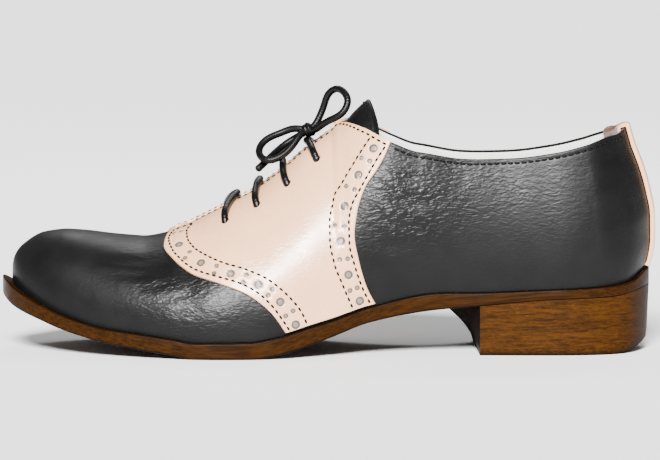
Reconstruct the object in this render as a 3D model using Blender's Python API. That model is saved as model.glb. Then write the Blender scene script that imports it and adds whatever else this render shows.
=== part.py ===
"""Saddle shoe: a left, low-heeled laced shoe with a light saddle across a dark upper.

Distances along the shoe run from the back of the heel towards the toe. In the model the toe
points to -X, the outer side of the foot is -Y, and the shoe stands on z = 0.
Tables hold shares of the named sizes, one row for each section from heel to toe.
"""

import math

import bmesh
import bpy
import numpy as np

# Driving sizes in metres
SHOE_LENGTH = 0.272
BALL_WIDTH = 0.093
COLLAR_WIDTH = 0.056
INSTEP_HEIGHT = 0.077
HEEL_HEIGHT = 0.0235
TOE_SPRING = 0.023
HEEL_CURVE = 0.0124
BREAST_SWEEP = 0.019
SOLE_THICKNESS = 0.0065
SOLE_MARGIN = 0.003
TOP_PIECE_THICKNESS = 0.003
TOP_PIECE_ROLL = 0.005
INSOLE_THICKNESS = 0.002
UPPER_WALL = 0.002
SADDLE_THICKNESS = 0.0012
BACKSTAY_THICKNESS = 0.0015
BACKSTAY_WIDTH = 0.013
TONGUE_THICKNESS = 0.0022
TONGUE_RISE = 0.020
TONGUE_LEAN = 49
SLOT_WIDTH = 0.0088
EYELET_DIAMETER = 0.0036
LACE_DIAMETER = 0.0027
KNOT_DIAMETER = 0.0046
GAP = 0.0003
BAR_GAP = 0.0005

# Places along the upper, as shares of its length
THROAT_FRONT = 0.745
FACING_TOP = 0.49
THROAT_ROUNDING = 0.03
HEEL_CURVE_REACH = 0.30
BREAST = 0.271

# Counts of sections and of points in them
STATIONS = 40
RISES = 12
OUTER, INNER = -1, 1
# Stretches of the upper, with the number of steps in each
UPPER_STRETCHES = (
    (0.0, 0.38, 14),
    (0.38, FACING_TOP, 8),
    (FACING_TOP, THROAT_FRONT, 12),
    (THROAT_FRONT, 0.80, 4),
    (0.80, 1.0, 10),
)

SECTION_COLUMNS = ("along", "outer", "inner", "middle", "height", "collar", "slot",
                   "flare_outer", "flare_inner", "lift", "shoulder", "crown")
SECTIONS = (
    (0.00, 0.000, 0.000, 0.000, 0.761, 0.000, 0.0, 0.000, 0.000, 0.36, 0.000, 0.72),
    (0.01, 0.118, 0.118, 0.000, 0.770, 0.300, 0.0, 0.012, 0.012, 0.36, 0.012, 0.72),
    (0.04, 0.231, 0.231, 0.000, 0.786, 0.620, 0.0, 0.026, 0.026, 0.36, 0.024, 0.72),
    (0.09, 0.297, 0.294, 0.000, 0.757, 0.840, 0.0, 0.036, 0.036, 0.36, 0.034, 0.72),
    (0.15, 0.320, 0.312, 0.000, 0.726, 0.890, 0.0, 0.038, 0.040, 0.36, 0.036, 0.72),
    (0.22, 0.317, 0.301, 0.000, 0.709, 0.890, 0.0, 0.040, 0.046, 0.36, 0.038, 0.72),
    (0.30, 0.312, 0.269, 0.002, 0.714, 0.930, 0.0, 0.040, 0.058, 0.37, 0.038, 0.72),
    (0.37, 0.326, 0.267, 0.005, 0.765, 0.970, 0.1, 0.040, 0.064, 0.38, 0.038, 0.74),
    (0.41, 0.344, 0.280, 0.008, 0.844, 0.930, 0.4, 0.038, 0.062, 0.40, 0.042, 0.78),
    (0.45, 0.368, 0.310, 0.011, 0.942, 0.690, 0.7, 0.034, 0.056, 0.44, 0.080, 0.87),
    (0.47, 0.383, 0.326, 0.013, 0.981, 0.430, 0.8, 0.032, 0.053, 0.46, 0.125, 0.92),
    (0.48, 0.391, 0.335, 0.014, 0.995, 0.240, 0.9, 0.031, 0.052, 0.47, 0.152, 0.940),
    (0.49, 0.398, 0.343, 0.015, 1.000, 0.080, 1.0, 0.030, 0.050, 0.48, 0.172, 0.952),
    (0.50, 0.405, 0.351, 0.016, 0.974, 0.000, 1.0, 0.030, 0.049, 0.49, 0.182, 0.955),
    (0.54, 0.433, 0.383, 0.019, 0.909, 0.000, 1.0, 0.030, 0.044, 0.50, 0.190, 0.955),
    (0.60, 0.469, 0.432, 0.024, 0.790, 0.000, 1.0, 0.030, 0.038, 0.52, 0.205, 0.96),
    (0.67, 0.482, 0.469, 0.029, 0.665, 0.000, 1.0, 0.032, 0.034, 0.54, 0.235, 0.97),
    (0.74, 0.459, 0.480, 0.034, 0.545, 0.000, 1.0, 0.034, 0.034, 0.55, 0.265, 0.99),
    (0.76, 0.448, 0.477, 0.036, 0.512, 0.000, 1.0, 0.034, 0.034, 0.55, 0.272, 1.00),
    (0.80, 0.418, 0.465, 0.040, 0.473, 0.000, 1.0, 0.032, 0.032, 0.56, 0.280, 1.00),
    (0.86, 0.357, 0.424, 0.046, 0.466, 0.000, 1.0, 0.028, 0.028, 0.57, 0.255, 1.00),
    (0.91, 0.292, 0.362, 0.050, 0.434, 0.000, 1.0, 0.024, 0.024, 0.58, 0.210, 1.00),
    (0.95, 0.214, 0.288, 0.052, 0.362, 0.000, 1.0, 0.020, 0.020, 0.58, 0.160, 1.00),
    (0.98, 0.118, 0.196, 0.053, 0.252, 0.000, 1.0, 0.014, 0.014, 0.56, 0.100, 1.00),
    (1.00, -0.054, 0.054, 0.054, 0.070, 0.000, 1.0, 0.000, 0.000, 0.50, 0.000, 1.00),
)

SOLE_COLUMNS = ("along", "heel", "spring", "thickness", "margin")
SOLE = (
    (0.0000, 1.180, 0.000, 1.10, 0.67),
    (0.0125, 1.165, 0.000, 1.07, 0.67),
    (0.0400, 1.081, 0.000, 0.67, 0.65),
    (0.0700, 1.020, 0.000, 0.68, 0.62),
    (0.1000, 1.005, 0.000, 0.64, 0.60),
    (0.1500, 0.990, 0.000, 0.60, 0.58),
    (0.2700, 0.872, 0.000, 0.82, 0.55),
    (0.3500, 0.790, 0.000, 1.05, 0.55),
    (0.4400, 0.600, 0.000, 0.93, 0.60),
    (0.4900, 0.390, 0.000, 0.98, 0.70),
    (0.5350, 0.205, 0.000, 1.10, 0.80),
    (0.5800, 0.060, 0.000, 1.10, 0.90),
    (0.6200, 0.000, 0.000, 1.05, 0.97),
    (0.7000, 0.000, 0.000, 1.00, 1.00),
    (0.7400, 0.000, 0.045, 0.98, 1.00),
    (0.7900, 0.000, 0.170, 0.95, 1.00),
    (0.8500, 0.000, 0.275, 0.84, 1.00),
    (0.9100, 0.000, 0.487, 0.89, 1.05),
    (0.9400, 0.000, 0.620, 0.98, 1.10),
    (0.9650, 0.000, 0.730, 1.11, 1.17),
    (0.9800, 0.000, 0.810, 1.20, 1.23),
    (0.9920, 0.000, 0.910, 1.22, 1.30),
    (1.0000, 0.000, 1.000, 1.15, 1.33),
)

# How far the back seam stands in from the heel curve's depth, by height
HEEL_LINE_COLUMNS = ("height", "inset")
HEEL_LINE = (
    (0.00, 0.380),
    (0.09, 0.234),
    (0.22, 0.153),
    (0.38, 0.161),
    (0.55, 0.306),
    (0.71, 0.524),
    (0.87, 0.815),
    (1.00, 1.000),
)

# The saddle's front and back edges, as shares of the upper's length, by rise of the section
SADDLE_COLUMNS = ("rise", "front", "back")
SADDLE = (
    (0.00, 0.572, 0.435),
    (0.10, 0.593, 0.451),
    (0.21, 0.626, 0.462),
    (0.31, 0.673, 0.468),
    (0.41, 0.715, 0.464),
    (0.55, 0.746, 0.452),
    (0.70, 0.761, 0.434),
    (0.85, 0.757, 0.421),
    (1.00, 0.727, 0.412),
)

# Each eyelet pair: its place along the upper, its rise, and where its lace bar crosses
EYELET_COLUMNS = ("along", "rise", "crossing")
EYELETS = (
    (0.665, 0.75, 0.656),
    (0.616, 0.76, 0.615),
    (0.569, 0.76, 0.574),
    (0.524, 0.78, 0.533),
)


# The free end of the tongue: share of its rise, and of its width
TONGUE_TOP = ((0.2, 0.98), (0.4, 0.96), (0.6, 0.95), (0.8, 0.93), (0.93, 0.88), (1.0, 0.76))

# The bow, as points chosen along each lace in metres
KNOT = (-0.0085, 0.0018, 0.0910)
BOW = {
    "lace_loop_front": (
        (-0.0116, 0.0026, 0.0913), (-0.0148, 0.0036, 0.0913), (-0.0200, 0.0042, 0.0895),
        (-0.0247, 0.0030, 0.0876), (-0.0284, 0.0005, 0.0842), (-0.0284, -0.0035, 0.0805),
        (-0.0256, -0.0060, 0.0789), (-0.0215, -0.0062, 0.0797), (-0.0175, -0.0050, 0.0822),
        (-0.0138, -0.0028, 0.0865), (-0.0109, -0.0002, 0.0899),
    ),
    "lace_loop_rear": (
        (-0.0061, 0.0032, 0.0926), (-0.0040, 0.0042, 0.0960), (-0.0020, 0.0045, 0.1010),
        (-0.0003, 0.0036, 0.1055), (0.0029, 0.0016, 0.1080), (0.0063, -0.0018, 0.1068),
        (0.0078, -0.0048, 0.1032), (0.0054, -0.0062, 0.0984), (0.0006, -0.0048, 0.0955),
        (-0.0030, -0.0024, 0.0932), (-0.0059, -0.0003, 0.0912),
    ),
    "lace_end_front": (
        (-0.0096, 0.0046, 0.0898), (-0.0122, 0.0072, 0.0882), (-0.0165, 0.0078, 0.0856),
        (-0.0212, 0.0052, 0.0822), (-0.0256, 0.0004, 0.0784), (-0.0300, -0.0030, 0.0745),
    ),
}


def column(table, names, name):
    """One named column of a table."""
    return np.array([row[names.index(name)] for row in table], float)


def flow(keys, values, at):
    """A smooth curve through a table that never swings past its values."""
    at = np.clip(np.asarray(at, float), keys[0], keys[-1])
    step = np.diff(keys)
    slope = np.diff(values) / step
    same_way = slope[:-1] * slope[1:] > 0
    weight_a = 2 * step[1:] + step[:-1]
    weight_b = step[1:] + 2 * step[:-1]
    safe_a = np.where(same_way, slope[:-1], 1.0)
    safe_b = np.where(same_way, slope[1:], 1.0)
    inner = np.where(same_way, (weight_a + weight_b) / (weight_a / safe_a + weight_b / safe_b), 0.0)
    tangent = np.concatenate([[slope[0]], inner, [slope[-1]]])
    i = np.clip(np.searchsorted(keys, at, side="right") - 1, 0, len(step) - 1)
    h = step[i]
    u = (at - keys[i]) / h
    return (values[i] * (1 + 2 * u) * (1 - u) ** 2 + tangent[i] * h * u * (1 - u) ** 2
            + values[i + 1] * u * u * (3 - 2 * u) + tangent[i + 1] * h * u * u * (u - 1))


def turn_of(along):
    """A share of a length as an angle: 0 at the heel end and pi at the toe end."""
    return np.arccos(np.clip(1 - 2 * np.asarray(along, float), -1, 1))


def along_of(turn):
    return (1 - np.cos(turn)) / 2


SECTION_TURNS = turn_of(column(SECTIONS, SECTION_COLUMNS, "along"))


def section_share(name, turn):
    return flow(SECTION_TURNS, column(SECTIONS, SECTION_COLUMNS, name), turn)


def sole_share(name, distance):
    along = np.asarray(distance, float) / SHOE_LENGTH
    return flow(column(SOLE, SOLE_COLUMNS, "along"), column(SOLE, SOLE_COLUMNS, name), along)


def sole_bottom(distance):
    """Height of the outsole's underside at a distance from the heel."""
    return sole_share("heel", distance) * HEEL_HEIGHT + sole_share("spring", distance) * TOE_SPRING


def sole_top(distance):
    return sole_bottom(distance) + sole_share("thickness", distance) * SOLE_THICKNESS


UPPER_LENGTH = SHOE_LENGTH - SOLE[-1][SOLE_COLUMNS.index("margin")] * SOLE_MARGIN


def heel_inset(height):
    """How far the back seam stands forward of the rearmost point, by its share of the height."""
    keys = column(HEEL_LINE, HEEL_LINE_COLUMNS, "height")
    return HEEL_CURVE * flow(keys, column(HEEL_LINE, HEEL_LINE_COLUMNS, "inset"), height)


def heel_fade(along):
    return np.clip(1 - along / HEEL_CURVE_REACH, 0, 1) ** 2


def feather(side, turn):
    """Plan point where the upper meets the sole: distance from the heel, and y."""
    along = along_of(turn)
    distance = along * UPPER_LENGTH + heel_fade(along) * heel_inset(0.0)
    width = section_share("outer" if side == OUTER else "inner", turn) * BALL_WIDTH
    return distance, side * width


def sole_edge(side, turn, inset=0.0):
    """Plan point of the outsole's edge: the feather line moved out square to itself."""
    return moved_out(side, turn, sole_share("margin", along_of(turn) * SHOE_LENGTH) * SOLE_MARGIN - inset)


def moved_out(side, turn, amount):
    small = 1e-4
    before = feather(side, turn - small)
    after = feather(side, turn + small)
    run_d = np.where(np.abs(np.sin(turn)) < 1e-6, 0.0, after[0] - before[0])
    run_y = after[1] - before[1]
    pole = np.abs(np.sin(turn)) < 1e-6
    run_y = np.where(pole, np.where(turn < 1, side, -side) * 1.0, run_y)
    size = np.hypot(run_d, run_y)
    distance, y = feather(side, turn)
    return distance - side * run_y / size * amount, y + side * run_d / size * amount


def slot_half(turn):
    """Half the width of the throat, round at its front end and shut beyond it."""
    left = np.clip((THROAT_FRONT - along_of(turn)) / THROAT_ROUNDING, 0, 1)
    return section_share("slot", turn) * SLOT_WIDTH / 2 * np.sqrt(1 - (1 - left) ** 2)


def upper_point(side, turn, rise):
    """A point of the upper's outer face. Rise is 0 at the sole and 1 at the top edge.

    Each section is a cubic curve through four points: the feather, a point flared out above it,
    the shoulder beside the top edge, and the top edge itself or the ridge of the vamp.
    """
    turn, rise = np.broadcast_arrays(np.asarray(turn, float), np.asarray(rise, float))
    along = along_of(turn)
    foot_d, foot_y = feather(side, turn)
    flare = section_share("flare_outer" if side == OUTER else "flare_inner", turn) * BALL_WIDTH
    top_half = section_share("collar", turn) * COLLAR_WIDTH / 2 + slot_half(turn)
    top_y = section_share("middle", turn) * BALL_WIDTH + side * top_half
    shoulder_y = top_y + side * section_share("shoulder", turn) * BALL_WIDTH
    b0 = (1 - rise) ** 3
    b1 = 3 * rise * (1 - rise) ** 2
    b2 = 3 * rise * rise * (1 - rise)
    b3 = rise ** 3
    y = b0 * foot_y + b1 * (foot_y + side * flare) + b2 * shoulder_y + b3 * top_y
    height = b1 * section_share("lift", turn) + b2 * section_share("crown", turn) + b3
    z = sole_top(foot_d) + GAP + height * section_share("height", turn) * INSTEP_HEIGHT
    distance = along * UPPER_LENGTH + heel_fade(along) * heel_inset(height)
    return np.stack([SHOE_LENGTH / 2 - distance, y, z], axis=-1)


def upper_normal(side, turn, rise):
    """The direction out of the upper at a point of its outer face."""
    small = 1e-3
    turn, rise = np.broadcast_arrays(np.asarray(turn, float), np.asarray(rise, float))
    low, high = np.clip(turn - small, 0, math.pi), np.clip(turn + small, 0, math.pi)
    along = upper_point(side, high, rise) - upper_point(side, low, rise)
    along[..., 0] = np.where(np.sin(turn) < 1e-6, 0.0, along[..., 0])
    up = upper_point(side, turn, np.clip(rise + small, 0, 1)) - upper_point(
        side, turn, np.clip(rise - small, 0, 1))
    normal = side * np.cross(along, up)
    return normal / np.linalg.norm(normal, axis=-1, keepdims=True)


def off_upper(side, turn, rise, distance):
    """A point at a distance off the upper's outer face."""
    return upper_point(side, turn, rise) + np.expand_dims(
        np.broadcast_to(distance, np.broadcast(turn, rise).shape), -1) * upper_normal(side, turn, rise)


def leather(name, colour, roughness, metallic=0.0):
    material = bpy.data.materials.new(name)
    material.use_nodes = True
    shader = material.node_tree.nodes["Principled BSDF"]
    shader.inputs["Base Color"].default_value = (*colour, 1.0)
    shader.inputs["Roughness"].default_value = roughness
    shader.inputs["Metallic"].default_value = metallic
    material.diffuse_color = (*colour, 1.0)
    return material


def add_mesh(name, vertices, faces, material):
    """An object from points and faces, with points in one place welded and faces turned out."""
    mesh = bpy.data.meshes.new(name)
    mesh.from_pydata([tuple(v) for v in vertices], [], faces)
    body = bmesh.new()
    body.from_mesh(mesh)
    bmesh.ops.remove_doubles(body, verts=body.verts, dist=2e-6)
    bmesh.ops.recalc_face_normals(body, faces=body.faces)
    bmesh.ops.triangulate(body, faces=body.faces)
    body.to_mesh(mesh)
    body.free()
    mesh.materials.append(material)
    mesh.shade_smooth()
    mesh.set_sharp_from_angle(angle=math.radians(40))
    obj = bpy.data.objects.new(name, mesh)
    bpy.context.scene.collection.objects.link(obj)
    return obj


def add_layers(name, sheets, material):
    """A closed solid between a top sheet and a bottom sheet, with the other sheets' rims between."""
    sheets = [np.asarray(sheet, float) for sheet in sheets]
    rows, across = sheets[0].shape[:2]
    count = rows * across

    def quads(start):
        grid = np.arange(count).reshape(rows, across) + start
        return np.stack([grid[:-1, :-1], grid[1:, :-1], grid[1:, 1:], grid[:-1, 1:]], -1).reshape(-1, 4)

    grid = np.arange(count).reshape(rows, across)
    rim = np.concatenate([grid[0, :-1], grid[:-1, -1], grid[-1, :0:-1], grid[:0:-1, 0]])
    vertices = np.concatenate([sheet.reshape(-1, 3) for sheet in sheets])
    faces = [quads(0)[:, ::-1], quads(count * (len(sheets) - 1))]
    for level in range(len(sheets) - 1):
        a = rim + level * count
        b = a + count
        faces.append(np.stack([a, np.roll(a, -1), np.roll(b, -1), b], -1))
    faces = np.concatenate(faces)
    used, index = np.unique(faces, return_inverse=True)
    return add_mesh(name, vertices[used], index.reshape(faces.shape).tolist(), material)


def flat_sheet(outer, inner, height, across):
    """A sheet spanned from the outer to the inner edge in plan, at a height that follows the length."""
    share = np.linspace(0, 1, across)
    distance = outer[0][:, None] * (1 - share) + inner[0][:, None] * share
    y = outer[1][:, None] * (1 - share) + inner[1][:, None] * share
    return np.stack([SHOE_LENGTH / 2 - distance, y, height(distance)], axis=-1)


def build_outsole(material):
    """Edge of the outsole: eased top corner, upright side, eased bottom corner."""
    across = 5
    turn = np.linspace(0, math.pi, STATIONS + 1)
    edge = ((0.00055, 1.0), (0.0, 0.9), (0.0, 0.1), (0.0004, 0.0))
    sheets = []
    for inset, level in edge:
        def height(distance, level=level):
            return (1 - level) * sole_bottom(distance) + level * sole_top(distance)
        sheets.append(flat_sheet(sole_edge(OUTER, turn, inset), sole_edge(INNER, turn, inset), height, across))
    return add_layers("outsole", sheets, material)


def build_insole(material):
    across = 5
    turn = np.linspace(0, math.pi, 24)
    inset = UPPER_WALL + 2 * GAP
    outer, inner = moved_out(OUTER, turn, -inset), moved_out(INNER, turn, -inset)
    base = flat_sheet(outer, inner, lambda d: sole_top(d) + 2 * GAP, across)
    top = flat_sheet(outer, inner, lambda d: sole_top(d) + 2 * GAP + INSOLE_THICKNESS, across)
    return add_layers("insole", (top, base), material)


def top_piece_base(distance):
    """The heel's bottom: flat on the floor, and rolled up behind."""
    reach = 3 * TOP_PIECE_ROLL
    rear = feather(OUTER, np.float64(0.0))[0]
    return TOP_PIECE_ROLL * np.clip(1 - (distance - rear) / reach, 0, 1.2) ** 2.4


def breast_distance(side, level):
    """Where the heel ends in front. The inner side sweeps forward as it rises."""
    start = BREAST * SHOE_LENGTH
    return start if side == OUTER else start + BREAST_SWEEP * (0.08 + 0.92 * level ** 1.5)


def heel_sheet(level, inset, height):
    across = 6
    edges = []
    for side in (OUTER, INNER):
        end = turn_of(breast_distance(side, level) / UPPER_LENGTH)
        edges.append(sole_edge(side, np.linspace(0, 1, 17) * end, inset))
    return flat_sheet(edges[0], edges[1], height, across)


def build_heel(material, top_piece_material):
    """The stacked heel under the seat, and the top piece that it walks on."""
    block = []
    for share in (1.0, 0.75, 0.5, 0.25, 0.0):
        def height(distance, share=share):
            low = top_piece_base(distance) + TOP_PIECE_THICKNESS + GAP
            return share * (sole_bottom(distance) - GAP) + (1 - share) * low
        level = (share * (HEEL_HEIGHT - TOP_PIECE_THICKNESS) + TOP_PIECE_THICKNESS) / HEEL_HEIGHT
        block.append(heel_sheet(level, (1 - share) * 0.0008, height))
    piece = []
    for share, inset in ((1.0, 0.0008), (0.0, 0.0012)):
        level = share * TOP_PIECE_THICKNESS / HEEL_HEIGHT
        piece.append(heel_sheet(level, inset,
                                lambda d, share=share: top_piece_base(d) + share * TOP_PIECE_THICKNESS))
    return (add_layers("heel_block", block, material),
            add_layers("heel_top_piece", piece, top_piece_material))


def build_upper(material):
    """One hollow wall, open at the collar, down the throat and underneath."""
    turn, shut = [0.0], 0
    for start, end, steps in UPPER_STRETCHES:
        turn.extend(np.linspace(turn_of(start), turn_of(end), steps + 1)[1:])
        if end == THROAT_FRONT:
            shut = len(turn) - 1
    turn = np.array(turn)
    rise = np.linspace(0, 1, RISES + 1)
    points, ids = [], {}
    for side in (OUTER, INNER):
        face = off_upper(side, turn[:, None], rise[None, :], 0.0)
        lining = off_upper(side, turn[:, None], rise[None, :], -UPPER_WALL)
        lining[:, 0, 2] = sole_top(SHOE_LENGTH / 2 - lining[:, 0, 0]) + GAP
        for layer, sheet in enumerate((face, lining)):
            number = np.arange(sheet.shape[0] * sheet.shape[1]).reshape(sheet.shape[:2])
            number = number + sum(len(p) for p in points)
            if side == INNER:
                outer = ids[OUTER, layer]
                number[0], number[-1] = outer[0], outer[-1]
                number[shut:, -1] = outer[shut:, -1]
            ids[side, layer] = number
            points.append(sheet.reshape(-1, 3))
    faces = []
    for side in (OUTER, INNER):
        for layer in (0, 1):
            grid = ids[side, layer]
            quad = np.stack([grid[:-1, :-1], grid[1:, :-1], grid[1:, 1:], grid[:-1, 1:]], -1).reshape(-1, 4)
            faces.append(quad if layer else quad[:, ::-1])
        for row, last in ((0, len(turn) - 1), (-1, shut)):
            a, b = ids[side, 0][: last + 1, row], ids[side, 1][: last + 1, row]
            faces.append(np.stack([a[:-1], a[1:], b[1:], b[:-1]], -1))
    faces = np.concatenate(faces)
    used, index = np.unique(faces, return_inverse=True)
    return add_mesh("upper", np.concatenate(points)[used], index.reshape(faces.shape).tolist(), material)


def build_saddle(side, name, material):
    """One wing of the saddle, wrapped just off the upper from the sole to the facing's edge."""
    rise = np.linspace(0.012, 1.0, 13)
    keys = column(SADDLE, SADDLE_COLUMNS, "rise")
    front = turn_of(flow(keys, column(SADDLE, SADDLE_COLUMNS, "front"), rise))
    back = turn_of(flow(keys, column(SADDLE, SADDLE_COLUMNS, "back"), rise))
    corner = turn_of(FACING_TOP)
    near, far = np.linspace(0, 1, 8)[:-1, None], np.linspace(0, 1, 13)[:, None]
    turn = np.concatenate([back + (corner - back) * near, corner + (front - corner) * far])
    rises = np.broadcast_to(rise, turn.shape)
    sheets = [off_upper(side, turn, rises, GAP + thick) for thick in (SADDLE_THICKNESS, 0.0)]
    return add_layers(name, sheets, material)


def build_backstay(material):
    """The strip up the back seam, folded over the collar and down inside it."""
    half_turn = turn_of(0.01) * BACKSTAY_WIDTH / 2 / (SECTIONS[1][1] * BALL_WIDTH)
    columns = np.linspace(-1, 1, 7)
    rise = np.linspace(0.03, 1.0, 13)
    down = np.linspace(1.0, 0.92, 4)
    sheets = []
    for out in (GAP + BACKSTAY_THICKNESS, GAP):
        sheet = []
        for place in columns:
            side = OUTER if place < 0 else INNER
            turn = abs(place) * half_turn
            face = off_upper(side, turn, rise, out)
            rim_out = upper_point(side, turn, 1.0)
            rim_in = off_upper(side, turn, 1.0, -UPPER_WALL)
            up = np.array([0.0, 0.0, out])
            over = [rim_out + up + (rim_out - rim_in) / UPPER_WALL * out * 0.5, rim_in + up
                    + (rim_in - rim_out) / UPPER_WALL * out * 0.5]
            inside = off_upper(side, turn, down, -UPPER_WALL - out)
            sheet.append(np.concatenate([face, over, inside]))
        sheets.append(np.stack(sheet, axis=1))
    return add_layers("backstay", sheets, material)


def tongue_row(turn, lowest, out):
    """One arch of the tongue, from its outer edge over the middle to its inner edge."""
    rise = np.linspace(lowest, 0.985, 6)
    left = off_upper(OUTER, turn, rise, out)
    right = off_upper(INNER, turn, rise, out)
    middle = (left[-1] + right[-1]) / 2
    return np.concatenate([left, [middle], right[::-1]])


def build_tongue(material):
    """The tongue lies under the facings and stands up out of the collar."""
    clear = UPPER_WALL + 2 * GAP
    turns = np.linspace(turn_of(0.79), turn_of(FACING_TOP + 0.01), 13)
    lean = math.radians(TONGUE_LEAN)
    up = np.array([math.cos(lean), 0.0, math.sin(lean)])
    sheets = []
    for out in (-clear, -clear - TONGUE_THICKNESS):
        rows = [tongue_row(turn, lowest, out)
                for turn, lowest in zip(turns, np.linspace(0.86, 0.60, len(turns)))]
        base = rows[-1]
        for step, narrow in TONGUE_TOP:
            rows.append(base * (1, narrow, 1) + up * TONGUE_RISE * step)
        sheets.append(np.stack(rows))
    return add_layers("tongue", sheets, material)


def add_tube(name, points, diameter, material, spacing=2.2):
    """A round lace through points, read evenly from a smooth curve through the given ones."""
    points = np.asarray(points, float)
    run = np.concatenate([[0], np.cumsum(np.linalg.norm(np.diff(points, axis=0), axis=1))])
    count = max(4, int(round(run[-1] / (spacing * diameter))) + 1)
    at = np.linspace(0, run[-1], count)
    smooth = np.stack([flow(run, points[:, k], at) for k in range(3)], axis=-1)
    curve = bpy.data.curves.new(name, "CURVE")
    curve.dimensions = "3D"
    curve.bevel_depth = diameter / 2
    curve.bevel_resolution = 2
    curve.use_fill_caps = True
    spline = curve.splines.new("POLY")
    spline.points.add(count - 1)
    for point, place in zip(spline.points, smooth):
        point.co = (*place, 1.0)
    curve.materials.append(material)
    obj = bpy.data.objects.new(name, curve)
    bpy.context.scene.collection.objects.link(obj)
    return obj


def bar_points(row):
    """A lace bar: from over the outer eyelet, across the throat to over the inner eyelet."""
    along, rise, crossing = row
    stand_off = GAP + SADDLE_THICKNESS + BAR_GAP + LACE_DIAMETER / 2
    share = np.linspace(0, 1, 7)
    turn = turn_of(along) * (1 - share) + turn_of(crossing) * share
    rises = rise * (1 - share) + share
    outer, inner = (off_upper(side, turn, rises, stand_off) for side in (OUTER, INNER))
    return np.concatenate([outer, inner[::-1]])


def build_lace_bars(material):
    for number, row in enumerate(EYELETS, 1):
        add_tube(f"lace_bar_{number}", bar_points(row), LACE_DIAMETER, material, 1.4)


def build_bow(material):
    """The knot, its two loops and the end that shows. The other end stops at the top eyelet."""
    body = bmesh.new()
    bmesh.ops.create_uvsphere(body, u_segments=12, v_segments=8, radius=KNOT_DIAMETER / 2)
    bmesh.ops.translate(body, verts=body.verts, vec=KNOT)
    mesh = bpy.data.meshes.new("lace_knot")
    body.to_mesh(mesh)
    body.free()
    mesh.materials.append(material)
    mesh.shade_smooth()
    bpy.context.scene.collection.objects.link(bpy.data.objects.new("lace_knot", mesh))
    for name, points in BOW.items():
        add_tube(name, points, LACE_DIAMETER, material, 1.5)


def punch_eyelets(targets):
    """Round holes through the saddle and the upper, for the laces."""
    vertices, faces = [], []
    reach = 0.006
    sides = 16
    for along, rise, _ in EYELETS:
        for side in (OUTER, INNER):
            turn = turn_of(along)
            centre = upper_point(side, turn, rise)
            axis = upper_normal(side, turn, rise)
            across = np.cross(axis, (1.0, 0.0, 0.0))
            across /= np.linalg.norm(across)
            other = np.cross(axis, across)
            start = len(vertices)
            for end in (-reach, reach):
                for k in range(sides):
                    angle = 2 * math.pi * k / sides
                    vertices.append(centre + end * axis + EYELET_DIAMETER / 2 * (
                        math.cos(angle) * across + math.sin(angle) * other))
            ring = [start + k for k in range(sides)]
            faces.append(ring)
            faces.append([v + sides for v in reversed(ring)])
            for k in range(sides):
                a, b = ring[k], ring[(k + 1) % sides]
                faces.append([b, a, a + sides, b + sides])
    punch = add_mesh("eyelet_punch", vertices, faces, targets[0].data.materials[0])
    punch.hide_render = True
    punch.display_type = "WIRE"
    for target in targets:
        cut = target.modifiers.new("eyelets", "BOOLEAN")
        cut.operation = "DIFFERENCE"
        cut.solver = "EXACT"
        cut.object = punch


def main():
    for old in list(bpy.data.objects):
        bpy.data.objects.remove(old, do_unlink=True)
    black = leather("black_leather", (0.022, 0.022, 0.024), 0.38)
    blush = leather("blush_leather", (0.78, 0.52, 0.38), 0.30)
    sole = leather("sole_leather", (0.075, 0.028, 0.012), 0.45)
    heel = leather("stacked_heel", (0.17, 0.062, 0.022), 0.45)
    top_piece = leather("top_piece_rubber", (0.12, 0.05, 0.02), 0.6)
    lining = leather("lining_leather", (0.85, 0.83, 0.80), 0.6)
    lace = leather("black_cord", (0.012, 0.012, 0.013), 0.35)
    build_outsole(sole)
    build_heel(heel, top_piece)
    build_insole(lining)
    upper = build_upper(black)
    wings = [build_saddle(OUTER, "saddle_outer", blush), build_saddle(INNER, "saddle_inner", blush)]
    punch_eyelets([upper, *wings])
    build_backstay(blush)
    build_tongue(black)
    build_lace_bars(lace)
    build_bow(lace)


main()
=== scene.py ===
"""Saddle shoe: leather, stitching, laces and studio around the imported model.

Every panel is a sheet worked out over the upper's own section table: one parameter runs from the
heel to the toe, the other rises from the sole to the top edge. Distances along the shoe run from
the back of the heel. The toe points to -X, the outer side of the foot is -Y, the floor is z = 0.
"""

import math

import bmesh
import bpy
import numpy as np
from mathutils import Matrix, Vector


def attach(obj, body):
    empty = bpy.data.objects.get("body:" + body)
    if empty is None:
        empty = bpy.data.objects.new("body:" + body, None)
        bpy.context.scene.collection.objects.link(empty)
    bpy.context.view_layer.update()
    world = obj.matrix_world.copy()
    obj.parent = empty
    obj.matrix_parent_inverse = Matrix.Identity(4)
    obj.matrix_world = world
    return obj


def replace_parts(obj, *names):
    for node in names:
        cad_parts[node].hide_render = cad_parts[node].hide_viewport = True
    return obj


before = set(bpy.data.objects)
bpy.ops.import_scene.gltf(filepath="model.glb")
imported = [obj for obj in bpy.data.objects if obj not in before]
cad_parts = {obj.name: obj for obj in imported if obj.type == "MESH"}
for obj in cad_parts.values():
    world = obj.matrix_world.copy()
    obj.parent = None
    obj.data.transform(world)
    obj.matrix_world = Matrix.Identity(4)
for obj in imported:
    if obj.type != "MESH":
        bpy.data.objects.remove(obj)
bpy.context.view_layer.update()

bl_info = {
    "name": "Saddle shoe",
    "version": (1, 0, 0),
    "blender": (4, 5, 0),
    "location": "3D View > Sidebar > Shoe",
    "description": "Leathers, stitching, laces, sole and studio for the packed saddle shoe",
    "category": "Object",
}

MM = 0.001
TOUCH = 0.00003  # metres left between the sole, the heel and its lift
OUTER, INNER = -1, 1
SHOE_MIDDLE = (0.0, 0.0, 0.045)

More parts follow.
